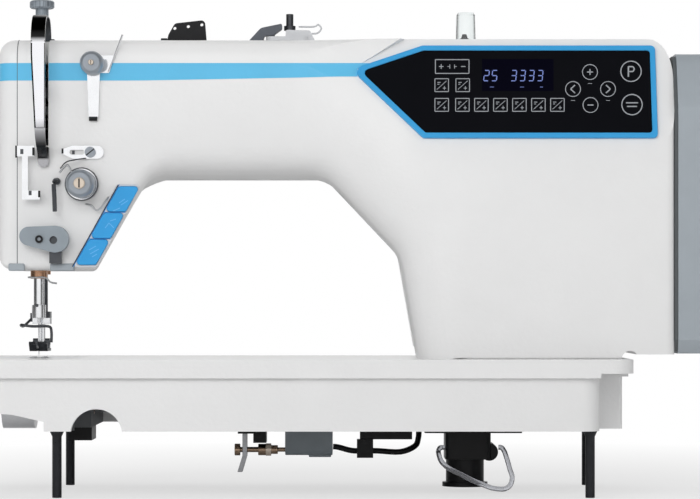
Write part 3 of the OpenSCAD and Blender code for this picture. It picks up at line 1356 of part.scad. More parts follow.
// Thread trimmer drive under the bed: solenoid, rod, lever and the brackets
trim_x = throat_x - 117.5;
trim_y = -20;
trim_z = -62.2;
trim_pivot_z = -44;
trim_travel = 4;
rod_r = 1.8;
solenoid_x0 = trim_x + 27.5;
solenoid_x1 = solenoid_x0 + 32;
solenoid_low = -63.5;
clamp_x = trim_x + 81.5;
lead_r = 2;
hook_cap_d = 9;
module underside_brackets() in_frame() color("black") {
  block(hook_rib_x - 4, hook_rib_x + rib_t, -rib_front + 4, 14, -apron_d - hook_cap_d, -apron_d);
  difference() {
    union() {
      block(trim_x - 4.5, trim_x + 14.7, trim_y - 11, trim_y + 11, -bed_top_t - 5, -bed_top_t);
      for (s = [-1, 1])
        block(trim_x - 4.5, trim_x + 6, trim_y + s * 8.5 - 2.5, trim_y + s * 8.5 + 2.5, trim_pivot_z - 7,
          -bed_top_t - 5 + fit_gap);
      block(trim_x + 6 - fit_gap, trim_x + 14.7, trim_y - 11, trim_y + 11, trim_z + 5,
        -bed_top_t - 5 + fit_gap);
    }
    rod_y(2 + run_gap, trim_x, trim_y - 14, trim_y + 14, trim_pivot_z);
  }
  difference() {
    union() {
      block(clamp_x - 5.5, clamp_x + 5.5, trim_y - 6, trim_y + 6, trim_z - 5.4, trim_z + 7);
      block(clamp_x - 3.5, clamp_x + 3.5, trim_y - 3, trim_y + 3, trim_z + 7 - fit_gap, -bed_top_t);
      block(clamp_x + 3, clamp_x + 32, trim_y - 1.5, trim_y + 1.5, trim_z + 7 - fit_gap, trim_z + 14);
    }
    rod_x(lead_r + 0.1, clamp_x - 7, clamp_x + 7, trim_y, trim_z - 0.8);
  }
}
module trim_lever() in_frame() color("gray") {
  difference() {
    union() {
      extrude_y(trim_y - 5, trim_y + 5) polygon([
        [trim_x - 1.6, trim_pivot_z], [trim_x + 1.6, trim_pivot_z], [trim_x + 1.6, trim_z - 4],
        [trim_x - 1.6, trim_z - 15], [trim_x - 5, trim_z - 15], [trim_x - 1.6, trim_z - 4]]);
      rod_y(4, trim_x, trim_y - 5, trim_y + 5, trim_pivot_z);
      rod_y(2, trim_x, trim_y - 11, trim_y + 11, trim_pivot_z);
    }
    block(trim_x - 3, trim_x + 3, trim_y - rod_r - 0.8, trim_y + rod_r + 0.8, trim_z - rod_r - 1.2,
      trim_z + rod_r + 1.2);
  }
}
module trim_rod() in_frame() color("peru") {
  rod_x(4, trim_x - 7, trim_x - 3.2, trim_y, trim_z);
  rod_x(rod_r, trim_x - 3.4, trim_x + 10, trim_y, trim_z);
  rod_x(3.9, trim_x + 9, trim_x + 17.6, trim_y, trim_z);
  rod_x(3, trim_x + 17, trim_x + 22.3, trim_y, trim_z);
  rod_x(1.5, trim_x + 22, solenoid_x0 + 12, trim_y, trim_z);
}
module trim_solenoid() in_frame() color("slategray") {
  difference() {
    union() {
      extrude_x(solenoid_x0, solenoid_x1)
        polygon(rounded(rect(trim_y - 13, trim_y + 13, solenoid_low - 2, -bed_top_t, 4), 4));
      block((solenoid_x0 + solenoid_x1) / 2, solenoid_x1 - 1, trim_y - 9, trim_y + 9, solenoid_low - 3.4,
        solenoid_low);
    }
    rod_x(1.5 + 0.3, solenoid_x0 - past, solenoid_x0 + 12 + trim_travel + 2, trim_y, trim_z);
  }
}
lead_points = [
  [solenoid_x1 + 0.3, trim_y, trim_z + 2], [solenoid_x1 + 4, trim_y, trim_z + 1.6],
  [clamp_x - 9, trim_y, trim_z - 0.7], [clamp_x, trim_y, trim_z - 0.8], [clamp_x + 9, trim_y, trim_z - 0.9],
  [clamp_x + 24, trim_y + 1, trim_z - 1.6], [clamp_x + 34, trim_y + 7, trim_z + 2],
  [vertical_x - 37, trim_y + 15, trim_z + 7], [vertical_x - 36.5, trim_y + 20, trim_z + 12],
  [vertical_x - 36.5, trim_y + 20.2, -apron_d - 0.3]];
module solenoid_lead() in_frame() color("black") tube(smooth_path(lead_points, 4), lead_r, 10);

bed_casting();
arm_casting();
face_plate();
rear_cover();
motor_cover();
handwheel();
main_shaft();
shaft_bushes();
motor_rotor();
motor_stator();
needle_crank();
needle_link();
needle_bar();
needle();
bar_bushes();
take_up_lever();
take_up_guard();
presser_bar();
presser_spring();
pressure_screw();
presser_foot();
presser_sole();
finger_guard();
hand_lifter();
needle_plate();
slide_plate();
feed_dog();
feed_bar();
feed_rock_shaft();
rotating_hook();
bobbin_case();
bobbin();
hook_shaft();
vertical_shaft();
panel_bezel();
control_panel();
key_holder();
key_top();
key_middle();
key_bottom();
front_guides();
pretension_knob();
tension_base();
tension_knob();
check_spring();
top_guide();
winder_base();
winder_spindle();
winder_latch();
oil_window();
wiper_cover();
oil_pump();
oil_hose();
underside_brackets();
trim_lever();
trim_rod();
trim_solenoid();
solenoid_lead();
legs();
cover_screws();
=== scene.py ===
"""Looks for the lockstitch sewing machine head: materials, printed panel, small trim, studio and camera."""
import math
import json
import bpy
import bmesh
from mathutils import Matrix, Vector
from mathutils.bvhtree import BVHTree


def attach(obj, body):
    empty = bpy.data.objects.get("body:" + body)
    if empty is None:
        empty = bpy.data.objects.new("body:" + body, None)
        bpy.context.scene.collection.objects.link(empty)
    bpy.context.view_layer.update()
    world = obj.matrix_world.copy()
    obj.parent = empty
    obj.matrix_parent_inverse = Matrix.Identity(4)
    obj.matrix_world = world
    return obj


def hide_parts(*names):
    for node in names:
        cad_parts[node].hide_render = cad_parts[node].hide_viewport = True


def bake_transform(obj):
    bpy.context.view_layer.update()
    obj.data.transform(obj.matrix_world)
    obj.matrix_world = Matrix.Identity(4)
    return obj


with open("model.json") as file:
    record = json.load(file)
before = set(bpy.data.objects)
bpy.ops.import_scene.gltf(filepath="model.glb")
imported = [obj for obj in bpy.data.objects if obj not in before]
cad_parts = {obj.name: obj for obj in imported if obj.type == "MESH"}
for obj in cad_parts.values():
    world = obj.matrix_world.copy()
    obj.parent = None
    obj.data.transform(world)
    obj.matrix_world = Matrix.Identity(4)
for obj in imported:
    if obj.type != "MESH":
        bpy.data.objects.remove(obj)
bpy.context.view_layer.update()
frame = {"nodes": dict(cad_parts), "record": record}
nodes = frame["nodes"]
body_of = {n: b for b, ns in frame["record"]["behaviour"]["bodies"].items() for n in ns}
SLOT = {s["node"]: s["material_slot"] for s in frame["record"]["subparts"]}
SCENE = bpy.context.scene

# Design sizes in millimetres, from the needle's axis and the bed's top
MID_X, MID_Y, FLOOR_Z = 230.0, -6.0, -91.4
ARM_FRONT, COLUMN_FRONT, ARM_TOP = -42.0, -58.0, 215.0
PANEL_Z, PANEL_LEAN, PANEL_PROUD = 146.7, math.radians(17.4), 1.9
UP, FRONT, RIGHT = (0, 0, 1), (0, -1, 0), (1, 0, 0)

# The camera that fits the photograph: its eye in design millimetres, the rest in pixels
PICTURE_W, PICTURE_H = 700, 499
EYE = Vector((213.3, -2045.0, 37.3))
FOCAL, CENTRE_X, HORIZON = 2982.0, 350.0, 303.0


def row(p):
    """Design millimetres to the row frame in metres."""
    return Vector(((p[0] - MID_X) / 1000, (p[1] - MID_Y) / 1000, (p[2] - FLOOR_Z) / 1000))


def design(p):
    """The row frame in metres to design millimetres."""
    return p * 1000 + Vector((MID_X, MID_Y, FLOOR_Z))


def at_depth(x, y, depth):
    """The point seen at picture position x, y on the upright plane at that depth."""
    s = FOCAL / (depth - EYE.y)
    return Vector((EYE.x + (x - CENTRE_X) / s, depth, EYE.z + (HORIZON - y) / s))


def on_panel(x, y, lift):
    """The point seen at picture position x, y on the leaning panel, lifted by some millimetres."""
    n = Vector((0, -math.cos(PANEL_LEAN), math.sin(PANEL_LEAN)))
    p0 = Vector((0, COLUMN_FRONT, PANEL_Z)) + n * (PANEL_PROUD + lift)
    d = Vector(((x - CENTRE_X) / FOCAL, 1, (HORIZON - y) / FOCAL))
    return EYE + d * ((p0 - EYE).dot(n) / d.dot(n))


# Materials
COAT_ROUGH, LEAST_ROUGH = 0.12, 0.02
BUMP_DEPTH = 0.0004
VARY_FROM, VARY_TO = 0.3, 0.7
VARY_DETAIL, ROUGH_DETAIL, BUMP_DETAIL = 4, 3, 2
ROUGH_FINER = 3


def add(nt, kind, values=None, operation=None):
    """A new shader node with some of its inputs set."""
    n = nt.nodes.new("ShaderNode" + kind)
    for name, value in (values or {}).items():
        n.inputs[name].default_value = value
    if operation:
        n.operation = operation
    return n


def material(name, color, rough, metal=0.0, vary=0.0, vary_scale=40.0, bump=0.0, bump_scale=600.0,
             stretch=(1, 1, 1), coat=0.0, trans=0.0, emit=0.0, rough_vary=0.0, spec=0.5):
    """A material whose colour, gloss and surface vary by noise in the object's own space."""
    m = bpy.data.materials.new(name)
    m.use_nodes = True
    nt = m.node_tree
    b = nt.nodes["Principled BSDF"]
    b.inputs["Base Color"].default_value = (*color, 1)
    b.inputs["Roughness"].default_value = rough
    b.inputs["Metallic"].default_value = metal
    b.inputs["Specular IOR Level"].default_value = spec
    b.inputs["Coat Weight"].default_value = coat
    b.inputs["Coat Roughness"].default_value = COAT_ROUGH
    b.inputs["Transmission Weight"].default_value = trans
    if emit:
        b.inputs["Emission Color"].default_value = (*color, 1)
        b.inputs["Emission Strength"].default_value = emit
    co = add(nt, "TexCoord")
    mp = add(nt, "Mapping", {"Scale": stretch})
    nt.links.new(co.outputs["Object"], mp.inputs["Vector"])

    def noise(scale, detail):
        t = add(nt, "TexNoise", {"Scale": scale, "Detail": detail})
        nt.links.new(mp.outputs["Vector"], t.inputs["Vector"])
        return t.outputs["Fac"]

    if vary:
        r = add(nt, "ValToRGB")
        low, high = r.color_ramp.elements
        low.position, high.position = VARY_FROM, VARY_TO
        low.color = (*[c * (1 - vary) for c in color], 1)
        high.color = (*[min(1, c * (1 + vary)) for c in color], 1)
        nt.links.new(noise(vary_scale, VARY_DETAIL), r.inputs["Fac"])
        nt.links.new(r.outputs["Color"], b.inputs["Base Color"])
    if rough_vary:
        r = add(nt, "MapRange", {"To Min": max(LEAST_ROUGH, rough - rough_vary),
                                 "To Max": min(1, rough + rough_vary)})
        nt.links.new(noise(vary_scale * ROUGH_FINER, ROUGH_DETAIL), r.inputs["Value"])
        nt.links.new(r.outputs["Result"], b.inputs["Roughness"])
    if bump:
        p = add(nt, "Bump", {"Strength": bump, "Distance": BUMP_DEPTH})
        nt.links.new(noise(bump_scale, BUMP_DETAIL), p.inputs["Height"])
        nt.links.new(p.outputs["Normal"], b.inputs["Normal"])
    return m


SLOT_LOOKS = {
    "white_paint": dict(color=(0.80, 0.80, 0.80), rough=0.34, vary=0.012, vary_scale=30, bump=0.42,
                        bump_scale=330, coat=0.25, rough_vary=0.05),
    "grey_plastic": dict(color=(0.36, 0.40, 0.435), rough=0.40, metal=0.1, vary=0.03, vary_scale=60, bump=0.06,
                         bump_scale=1500, coat=0.15, rough_vary=0.05),
    "grey_paint": dict(color=(0.18, 0.208, 0.228), rough=0.42, vary=0.05, vary_scale=90, bump=0.12,
                       bump_scale=900, rough_vary=0.06),
    "steel": dict(color=(0.60, 0.61, 0.63), rough=0.30, metal=1, vary=0.05, vary_scale=120, bump=0.06,
                  bump_scale=500, stretch=(1, 14, 1), rough_vary=0.08),
    "bright_steel": dict(color=(0.92, 0.93, 0.95), rough=0.11, metal=1, vary=0.03, vary_scale=90, bump=0.02,
                         bump_scale=300, rough_vary=0.04),
    "bronze": dict(color=(0.56, 0.32, 0.20), rough=0.18, metal=1, vary=0.10, vary_scale=160, bump=0.05,
                   bump_scale=800, stretch=(1, 1, 12), rough_vary=0.07),
    "dark_steel": dict(color=(0.10, 0.105, 0.115), rough=0.36, metal=0.85, vary=0.10, vary_scale=140, bump=0.05,
                       bump_scale=900, rough_vary=0.08),
    "black_plastic": dict(color=(0.007, 0.007, 0.0085), rough=0.42, vary=0.12, vary_scale=120, bump=0.10,
                          bump_scale=1200, rough_vary=0.08, spec=0.35),
    "black_gloss": dict(color=(0.0045, 0.0048, 0.0065), rough=0.22, vary=0.06, vary_scale=50, bump=0.01,
                        bump_scale=900, rough_vary=0.03, spec=0.02),
    "blue_plastic": dict(color=(0.023, 0.33, 0.72), rough=0.36, vary=0.025, vary_scale=60, bump=0.05,
                         bump_scale=900, coat=0.1, rough_vary=0.04),
    "pale_plastic": dict(color=(0.62, 0.63, 0.65), rough=0.42, vary=0.03, vary_scale=90, bump=0.06,
                         bump_scale=1200, rough_vary=0.05),
    "clear_plastic": dict(color=(0.93, 0.97, 0.97), rough=0.06, trans=0.92, vary=0.01, vary_scale=90, bump=0.02,
                          bump_scale=400, rough_vary=0.03),
    "black_rubber": dict(color=(0.014, 0.014, 0.015), rough=0.60, vary=0.15, vary_scale=200, bump=0.12,
                         bump_scale=1500, rough_vary=0.08),
}
M = {name: material(name, **look) for name, look in SLOT_LOOKS.items()}

# Looks of single pieces and faces, where the slot's own look isn't close enough
GREY_KNOB = material("grey_knob", (0.33, 0.36, 0.40), 0.34, metal=0.5, vary=0.06, vary_scale=120, bump=0.05,
                     bump_scale=700, rough_vary=0.06)
CREAM = material("cream_nut", (0.70, 0.60, 0.50), 0.30, metal=0.4, vary=0.04, vary_scale=200, bump=0.03)
# Painted shade: the bed's hollow underside is dark grey where little light reaches into it
BED_INSIDE_SHADE = material("bed_hollow_painted_shade", (0.075, 0.08, 0.085), 0.55, vary=0.10, vary_scale=60, bump=0.20, bump_scale=300,
                  rough_vary=0.06)
INK = material("panel_ink", (0.36, 0.38, 0.41), 0.45, vary=0.02, vary_scale=200, bump=0.01)
GLASS = material("display_glass", (0.0015, 0.0014, 0.006), 0.15, vary=0.05, vary_scale=90, bump=0.005, spec=0.02)
DIGITS = material("display_digits", (0.16, 0.21, 0.48), 0.5, vary=0.03, vary_scale=300, emit=0.4, spec=0.1)
KEY_INK = material("key_ink", (0.13, 0.47, 0.86), 0.45, vary=0.02, vary_scale=200, bump=0.01)
BEZEL_BLUE = material("bezel_blue", (0.028, 0.33, 0.68), 0.36, vary=0.025, vary_scale=60, bump=0.05,
                      bump_scale=900, coat=0.1, rough_vary=0.04)
FILM_BLUE = material("film_blue", (0.015, 0.22, 0.60), 0.36, vary=0.02, vary_scale=60, bump=0.04, coat=0.1)
WIPER_GREY = material("wiper_grey", (0.27, 0.31, 0.345), 0.40, vary=0.05, vary_scale=90, bump=0.10,
                      bump_scale=900, rough_vary=0.05)
# Dark grey of the face plate's joint line, and painted shade on the motor cover's recessed lip, which is the
# cover's own grey plastic
JOINT_AND_LIP_SHADE = material("motor_seam", (0.10, 0.11, 0.115), 0.5, vary=0.05, vary_scale=90, bump=0.05)
LEG_BLACK = material("leg_black", (0.02, 0.021, 0.025), 0.30, metal=0.5, vary=0.10, vary_scale=140, bump=0.05,
                     bump_scale=900, rough_vary=0.06)
LATCH = material("latch_grey", (0.10, 0.11, 0.13), 0.40, metal=0.3, vary=0.06, vary_scale=120, bump=0.05)
LEVER = material("lever_steel", (0.33, 0.335, 0.35), 0.32, metal=1, vary=0.05, vary_scale=120, bump=0.05,
                 stretch=(1, 1, 8), rough_vary=0.06)
KNURL = material("knurled_grey", (0.30, 0.34, 0.38), 0.36, metal=0.4, vary=0.45, vary_scale=900, bump=0.5,
                 bump_scale=900, stretch=(1, 1, 0.04), rough_vary=0.05)
PLATE = material("plate_steel", (0.60, 0.61, 0.63), 0.34, metal=0.55, vary=0.05, vary_scale=120, bump=0.06,
                 bump_scale=500, stretch=(1, 14, 1), rough_vary=0.08)
UNDER_BLACK = material("under_black", (0.0030, 0.0030, 0.0038), 0.34, vary=0.15, vary_scale=120, bump=0.10,
                       bump_scale=700, rough_vary=0.10, spec=0.22)
ROD_BRASS = material("rod_brass", (0.33, 0.235, 0.165), 0.24, metal=1, vary=0.15, vary_scale=160, bump=0.05,
                     bump_scale=800, rough_vary=0.07)
HOSE_CLEAR = material("hose_clear", (0.62, 0.63, 0.67), 0.10, trans=0.80, vary=0.02, vary_scale=90, bump=0.02,
                      bump_scale=400, rough_vary=0.03)
PAINT_BLUE = material("stripe_blue", (0.105, 0.50, 0.79), 0.34, vary=0.02, vary_scale=40, bump=0.20,
                      bump_scale=330, coat=0.25, rough_vary=0.04)

# Height of the take-up guard in metres, and its grey at shares of that height: painted reflection, dark bands
# where the bent strap's mirror finish reflects the room's shade
GUARD_FOOT, GUARD_HEAD = 0.2194, 0.3244
GUARD_REFLECTION_GREYS = [(0.0, 0.42), (0.05, 0.42), (0.065, 0.10), (0.145, 0.06), (0.23, 0.45), (0.305, 0.93),
                (0.79, 0.93), (0.825, 0.02)]
GUARD_TINT = 1.04


def guard_painted_reflection():
    """Bright steel with painted reflection in its colour: dark bands at its bend and its lower end, where the
    strap's mirror finish reflects the room's shade.
    """
    m = M["bright_steel"].copy()
    m.name = "guard_painted_reflection"
    nt = m.node_tree
    co = add(nt, "TexCoord")
    split = add(nt, "SeparateXYZ")
    height = add(nt, "MapRange", {"From Min": GUARD_FOOT, "From Max": GUARD_HEAD})
    ramp = add(nt, "ValToRGB")
    nt.links.new(co.outputs["Object"], split.inputs["Vector"])
    nt.links.new(split.outputs["Z"], height.inputs["Value"])
    nt.links.new(height.outputs["Result"], ramp.inputs["Fac"])
    bands = ramp.color_ramp.elements
    while len(bands) < len(GUARD_REFLECTION_GREYS):
        bands.new(0.5)
    for band, (at, grey) in zip(bands, GUARD_REFLECTION_GREYS):
        band.position, band.color = at, (grey, grey, min(1, grey * GUARD_TINT), 1)
    nt.links.new(ramp.outputs["Color"], nt.nodes["Principled BSDF"].inputs["Base Color"])
    return m


LOOK = {
    "pretension_knob": GREY_KNOB, "tension_knob": GREY_KNOB, "panel_bezel": BEZEL_BLUE, "legs": LEG_BLACK,
    "winder_latch": LATCH, "trim_lever": LEVER, "pressure_screw": KNURL, "wiper_cover": WIPER_GREY,
    "take_up_guard": guard_painted_reflection(), "needle_plate": PLATE, "slide_plate": PLATE, "oil_pump": UNDER_BLACK,
    "underside_brackets": UNDER_BLACK, "solenoid_lead": UNDER_BLACK, "trim_rod": ROD_BRASS,
}

# Edge rounding in millimetres
BEVEL = {
    "bed_casting": 1.2, "panel_bezel": 0.5, "control_panel": 0.2, "key_holder": 0.3, "key_top": 0.6,
    "key_middle": 0.6, "key_bottom": 0.6, "rear_cover": 0.5, "needle_plate": 0.12, "slide_plate": 0.2,
    "top_guide": 0.5, "winder_base": 0.5, "winder_latch": 0.6, "wiper_cover": 1.6, "presser_foot": 0.5,
    "hand_lifter": 0.6, "oil_pump": 0.8, "underside_brackets": 0.6, "trim_solenoid": 0.8, "tension_base": 0.3,
    "tension_knob": 0.4, "pretension_knob": 0.4, "pressure_screw": 0.3, "legs": 0.3, "take_up_guard": 0.7,
    "trim_lever": 0.3, "trim_rod": 0.3, "handwheel": 0.6, "cover_screws": 0.25, "needle_bar": 0.25,
    "front_guides": 0.45, "oil_window": 0.4, "winder_spindle": 0.2,
}
EDGE_STEPS = 2
# Angles in degrees: two faces that meet at less than SMOOTH_UNDER are shaded as one curved face
SMOOTH_UNDER = {
    "arm_casting": 32, "face_plate": 32, "motor_cover": 32, "solenoid_lead": 60, "finger_guard": 50,
    "presser_spring": 60, "check_spring": 50, "winder_base": 45, "front_guides": 45, "take_up_guard": 40,
    "wiper_cover": 40, "bed_casting": 40,
}
SMOOTH_ELSE, BEVEL_OVER, FLAT_UNDER, TURNED_SHARP = 34, 40, 0.4, 35
# Distances in metres under which vertices are joined
JOIN, SLIVER, STRIPE_JOIN = 2e-6, 1e-7, 1e-6

# Where a piece changes its look, in design millimetres: boxes of x, y and z ranges, and round places
ALL_BELOW, ALL_ABOVE = -math.inf, math.inf
ANY = (ALL_BELOW, ALL_ABOVE)
BED_HOLLOW = ((-65, 389), (-84, 72), (-46.5, -7.1))
APRON_BACK, APRON_LEFT, APRON_RIGHT = -44, -52, 376
MOTOR_LIP_SHADE_X = 432.3
GUIDE_TIP = ((37, 45), ANY, (158, 162))
HOOK_GUIDE = ((12, 20), ANY, (ALL_BELOW, 122))
GUIDE_SCREW = ((35, 43), (ALL_BELOW, -43.6), (134, 143))
FOOT_CUT = 27.0
# painted reflection on the guard's part that bends back over the arm's top
GUARD_TOP_REFLECTION = (ANY, (-40, ALL_ABOVE), (214, ALL_ABOVE))
WIPER_BLOCK = ((11, 20.5), ANY, (ALL_BELOW, 71.5))
WIPER_SCREW, WIPER_HOLE = (5.5, 80), (15, 79.4)
WIPER_ROUND_R, WIPER_SOCKET_R = 2.75, 1
WIPER_FACE, WIPER_LIP, WIPER_SOCKET_END = -52.05, -51.8, -51
TENSION_X, TENSION_Z, TENSION_FACE_R = 33.3, 117.0, 10.9


def within(c, box):
    """True where a point lies inside a box."""
    return all(low < v < high for v, (low, high) in zip(c, box))


def near(c, at, r):
    """True within r of the line that runs from front to back through an x and a z."""
    return (c.x - at[0]) ** 2 + (c.z - at[1]) ** 2 < r ** 2


# Other materials on some faces of a node: (material, test on the face's middle)
SECOND_LOOKS = {
    # painted shade inside the bed's hollow, behind its apron
    "bed_casting": [(BED_INSIDE_SHADE, lambda c: within(c, BED_HOLLOW)
                     and (c.y >= APRON_BACK or APRON_LEFT < c.x < APRON_RIGHT))],
    # Painted shade: the motor cover's recessed lip is dark grey where its gap lies in shade
    "motor_cover": [(JOINT_AND_LIP_SHADE, lambda c: c.x < MOTOR_LIP_SHADE_X)],
    "front_guides": [(M["black_plastic"], lambda c: within(c, GUIDE_TIP)),
                     (M["dark_steel"], lambda c: within(c, HOOK_GUIDE)),
                     (GREY_KNOB, lambda c: within(c, GUIDE_SCREW))],
    "presser_foot": [(M["dark_steel"], lambda c: c.z > FOOT_CUT)],
    # Painted reflection: the guard's part that bends back over the arm's top is dark steel, for the shade its
    # mirror finish reflects
    "take_up_guard": [(M["dark_steel"], lambda c: within(c, GUARD_TOP_REFLECTION))],
    "wiper_cover": [(M["dark_steel"], lambda c: within(c, WIPER_BLOCK)),
                    # Painted shade: the walls and floor of the wiper cover's blind hole are dark steel where the
                    # hole lies in shade
                    (M["dark_steel"], lambda c: near(c, WIPER_HOLE, WIPER_ROUND_R) and c.y > WIPER_LIP),
                    (M["black_plastic"], lambda c: near(c, WIPER_SCREW, WIPER_ROUND_R) and c.y < WIPER_FACE),
                    (GREY_KNOB, lambda c: near(c, WIPER_SCREW, WIPER_SOCKET_R)
                     and WIPER_FACE < c.y < WIPER_SOCKET_END)],
    "tension_base": [(M["dark_steel"], lambda c: not near(c, (TENSION_X, TENSION_Z), TENSION_FACE_R))],
}


def link(o):
    SCENE.collection.objects.link(o)
    return o


def dressed(name):
    """A copy of a CAD node with joined vertices, smooth curved faces and small edge rounding."""
    bm = bmesh.new()
    bm.from_mesh(nodes[name].data)
    bmesh.ops.remove_doubles(bm, verts=bm.verts, dist=JOIN)
    bmesh.ops.dissolve_degenerate(bm, dist=SLIVER, edges=bm.edges)
    if name in BEVEL:
        bmesh.ops.dissolve_limit(bm, angle_limit=math.radians(FLAT_UNDER), verts=bm.verts, edges=bm.edges)
    if name == "presser_foot":
        bmesh.ops.bisect_plane(bm, geom=bm.verts[:] + bm.edges[:] + bm.faces[:], plane_co=row((0, 0, FOOT_CUT)),
                               plane_no=UP)
    limit = math.radians(SMOOTH_UNDER.get(name, SMOOTH_ELSE))
    for e in bm.edges:
        if len(e.link_faces) == 2:
            e.smooth = e.calc_face_angle(0) < limit
    bm.verts.ensure_lookup_table()
    me = bpy.data.meshes.new(name + "_look")
    me.from_pydata([v.co[:] for v in bm.verts], [], [[v.index for v in f.verts] for f in bm.faces])
    me.polygons.foreach_set("use_smooth", [True] * len(me.polygons))
    keys = {tuple(sorted((e.verts[0].index, e.verts[1].index))): not e.smooth for e in bm.edges}
    sharp = [keys.get(tuple(sorted(e.vertices)), False) for e in me.edges]
    me.attributes.new("sharp_edge", "BOOLEAN", "EDGE").data.foreach_set("value", sharp)
    bm.free()
    o = link(bpy.data.objects.new(name + "_look", me))
    me.materials.append(LOOK.get(name, M[SLOT[name]]))
    for mat, test in SECOND_LOOKS.get(name, []):
        me.materials.append(mat)
        for f in me.polygons:
            if test(design(f.center)):
                f.material_index = len(me.materials) - 1
    if name in BEVEL:
        bv = o.modifiers.new("edge", "BEVEL")
        bv.width, bv.segments, bv.limit_method = BEVEL[name] / 1000, EDGE_STEPS, "ANGLE"
        bv.angle_limit = math.radians(BEVEL_OVER)
        bv.harden_normals = True
        bv.use_clamp_overlap = True
    if name == "presser_spring":
        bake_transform(o)
    else:
        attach(o, body_of[name])
    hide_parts(name)
    return o


looks = {n: dressed(n) for n in nodes if n != "oil_hose"}


def tree_of(name):
    """A search tree over the faces of a dressed node."""
    me = looks[name].data
    return BVHTree.FromPolygons([v.co for v in me.vertices], [f.vertices for f in me.polygons])


arm_tree, guard_tree = tree_of("arm_casting"), tree_of("take_up_guard")
RAY_FROM_Y, REARWARD = -150, (0, 1, 0)


# Small shapes
def piece(name, verts, faces, mat, body="frame", smooth=False):
    """A mesh from points in design millimetres, riding on a body."""
    me = bpy.data.meshes.new(name)
    me.from_pydata([row(v)[:] for v in verts], [], faces)
    me.polygons.foreach_set("use_smooth", [smooth] * len(faces))
    me.materials.append(mat)
    o = link(bpy.data.objects.new(name, me))
    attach(o, body)
    return o


def strip(name, verts, mat):
    """A narrow band whose points come in pairs, one on each edge."""
    piece(name, verts, [[2 * i, 2 * i + 1, 2 * i + 3, 2 * i + 2] for i in range(len(verts) // 2 - 1)], mat)


def printed(name, shapes, place, mat, body="frame"):
    """Flat printed shapes: each is a list of picture points, set on the surface by place."""
    verts, faces = [], []
    for s in shapes:
        faces.append([len(verts) + i for i in range(len(s))][::-1])
        verts += [place(*p) for p in s]
    piece(name, verts, faces, mat, body)


def bar(x0, y0, x1, y1, w):
    """A straight line of width w."""
    d = math.hypot(x1 - x0, y1 - y0)
    nx, ny = -(y1 - y0) / d * w / 2, (x1 - x0) / d * w / 2
    return [(x0 + nx, y0 + ny), (x1 + nx, y1 + ny), (x1 - nx, y1 - ny), (x0 - nx, y0 - ny)]


def bars(lines, x=0, y=0):
    """Straight lines, each (x0, y0, x1, y1, width) from the corner x, y."""
    return [bar(x + a, y + b, x + c, y + d, w) for a, b, c, d, w in lines]


def frame_bars(x0, y0, x1, y1, w):
    """The four lines of a box."""
    return [bar(x0, y0, x1, y0, w), bar(x1, y0, x1, y1, w), bar(x1, y1, x0, y1, w), bar(x0, y1, x0, y0, w)]


RING_SIDES = 28


def ring_bars(cx, cy, r, w):
    """A round line."""
    turns = [2 * math.pi * i / RING_SIDES for i in range(RING_SIDES + 1)]
    p = [(cx + r * math.cos(a), cy + r * math.sin(a)) for a in turns]
    return [bar(*p[i], *p[i + 1], w) for i in range(RING_SIDES)]


# Printed control panel: places, sizes and line widths in the photograph's pixels, lifts in millimetres
PRINT_LIFT, GLASS_LIFT, DIGIT_LIFT = 0.05, 0.04, 0.07
WIDE_KEY = (435.4, 59.6, 469, 73.4, 0.8)
WIDE_KEY_MARKS = [(439, 66.5, 443.5, 66.5, 0.8), (441.2, 64.2, 441.2, 68.8, 0.8), (461, 66.5, 465.5, 66.5, 0.8),
                  (447.5, 66.5, 449.8, 66.5, 0.6), (454.5, 66.5, 456.8, 66.5, 0.6),
                  (449.8, 64.4, 449.8, 68.6, 0.6), (454.5, 64.4, 454.5, 68.6, 0.6)]
SMALL_KEYS = [(434.9, 78.7), (455.9, 78.7)]
SMALL_KEYS += [(x, 98.4) for x in (434.9, 455.6, 474.6, 493.6, 512.6, 531.6, 550.6)]
SMALL_W, SMALL_H, KEY_LINE = 13.6, 12.9, 0.75
SMALL_KEY_MARKS = [(2, 10.8, 11.6, 2.2, 0.55), (2.5, 3.7, 5.7, 3.7, 0.7), (2.5, 5.5, 4.4, 5.5, 0.7),
                   (8, 9.4, 11.1, 9.4, 0.7), (9.5, 7.4, 9.5, 11, 0.6)]
ROUND_KEYS, ROUND_R = [(590, 72), (573, 89), (608, 89), (590.5, 105)], 7.5
ROUND_KEY_MARKS = [(587, 72, 593, 72, 1), (590, 69, 590, 75, 1), (587.5, 105, 593.5, 105, 1),
                   (575, 85, 570.6, 89, 1.1), (570.6, 89, 575, 93, 1.1),
                   (606, 85, 610.4, 89, 1.1), (610.4, 89, 606, 93, 1.1)]
LARGE_KEYS, LARGE_R, LARGE_LINE = [(631, 71.3), (632, 104.6)], 10.2, 1
LARGE_KEY_MARKS = [(628.4, 66.3, 628.4, 76.8, 1.4), (628.4, 66.6, 633, 66.6, 1.2), (633, 66.6, 634.4, 69, 1.2),
                   (634.4, 69, 633, 71.5, 1.2), (633, 71.5, 628.4, 71.5, 1.2),
                   (626, 102.8, 638, 102.8, 1.1), (627, 106.4, 637, 106.4, 1.1)]
KEY_DASHES = [(588, 83.5, 592, 83.5, 0.5), (571, 100.5, 575, 100.5, 0.5), (606, 100.5, 610, 100.5, 0.5)]
DISPLAY = [(482, 59), (553.5, 59), (553.5, 91), (482, 91)]
DISPLAY_DASHES = [(490, 87, 494, 87, 0.45), (520, 87, 524, 87, 0.45), (540, 87, 543, 87, 0.45)]
# The display's numbers, the left edge of the first digit and the step to the next
NUMBERS = [("25", 483.6, 8), ("3333", 510.9, 8.8)]
DIGIT_TOP, DIGIT_W, DIGIT_H, DIGIT_LINE = 70.4, 4.8, 10.4, 0.9
DIGIT_LEAN, SEGMENT_GAP = 0.10, 0.08
SEGMENTS = {"2": "abged", "5": "afgcd", "3": "abgcd"}


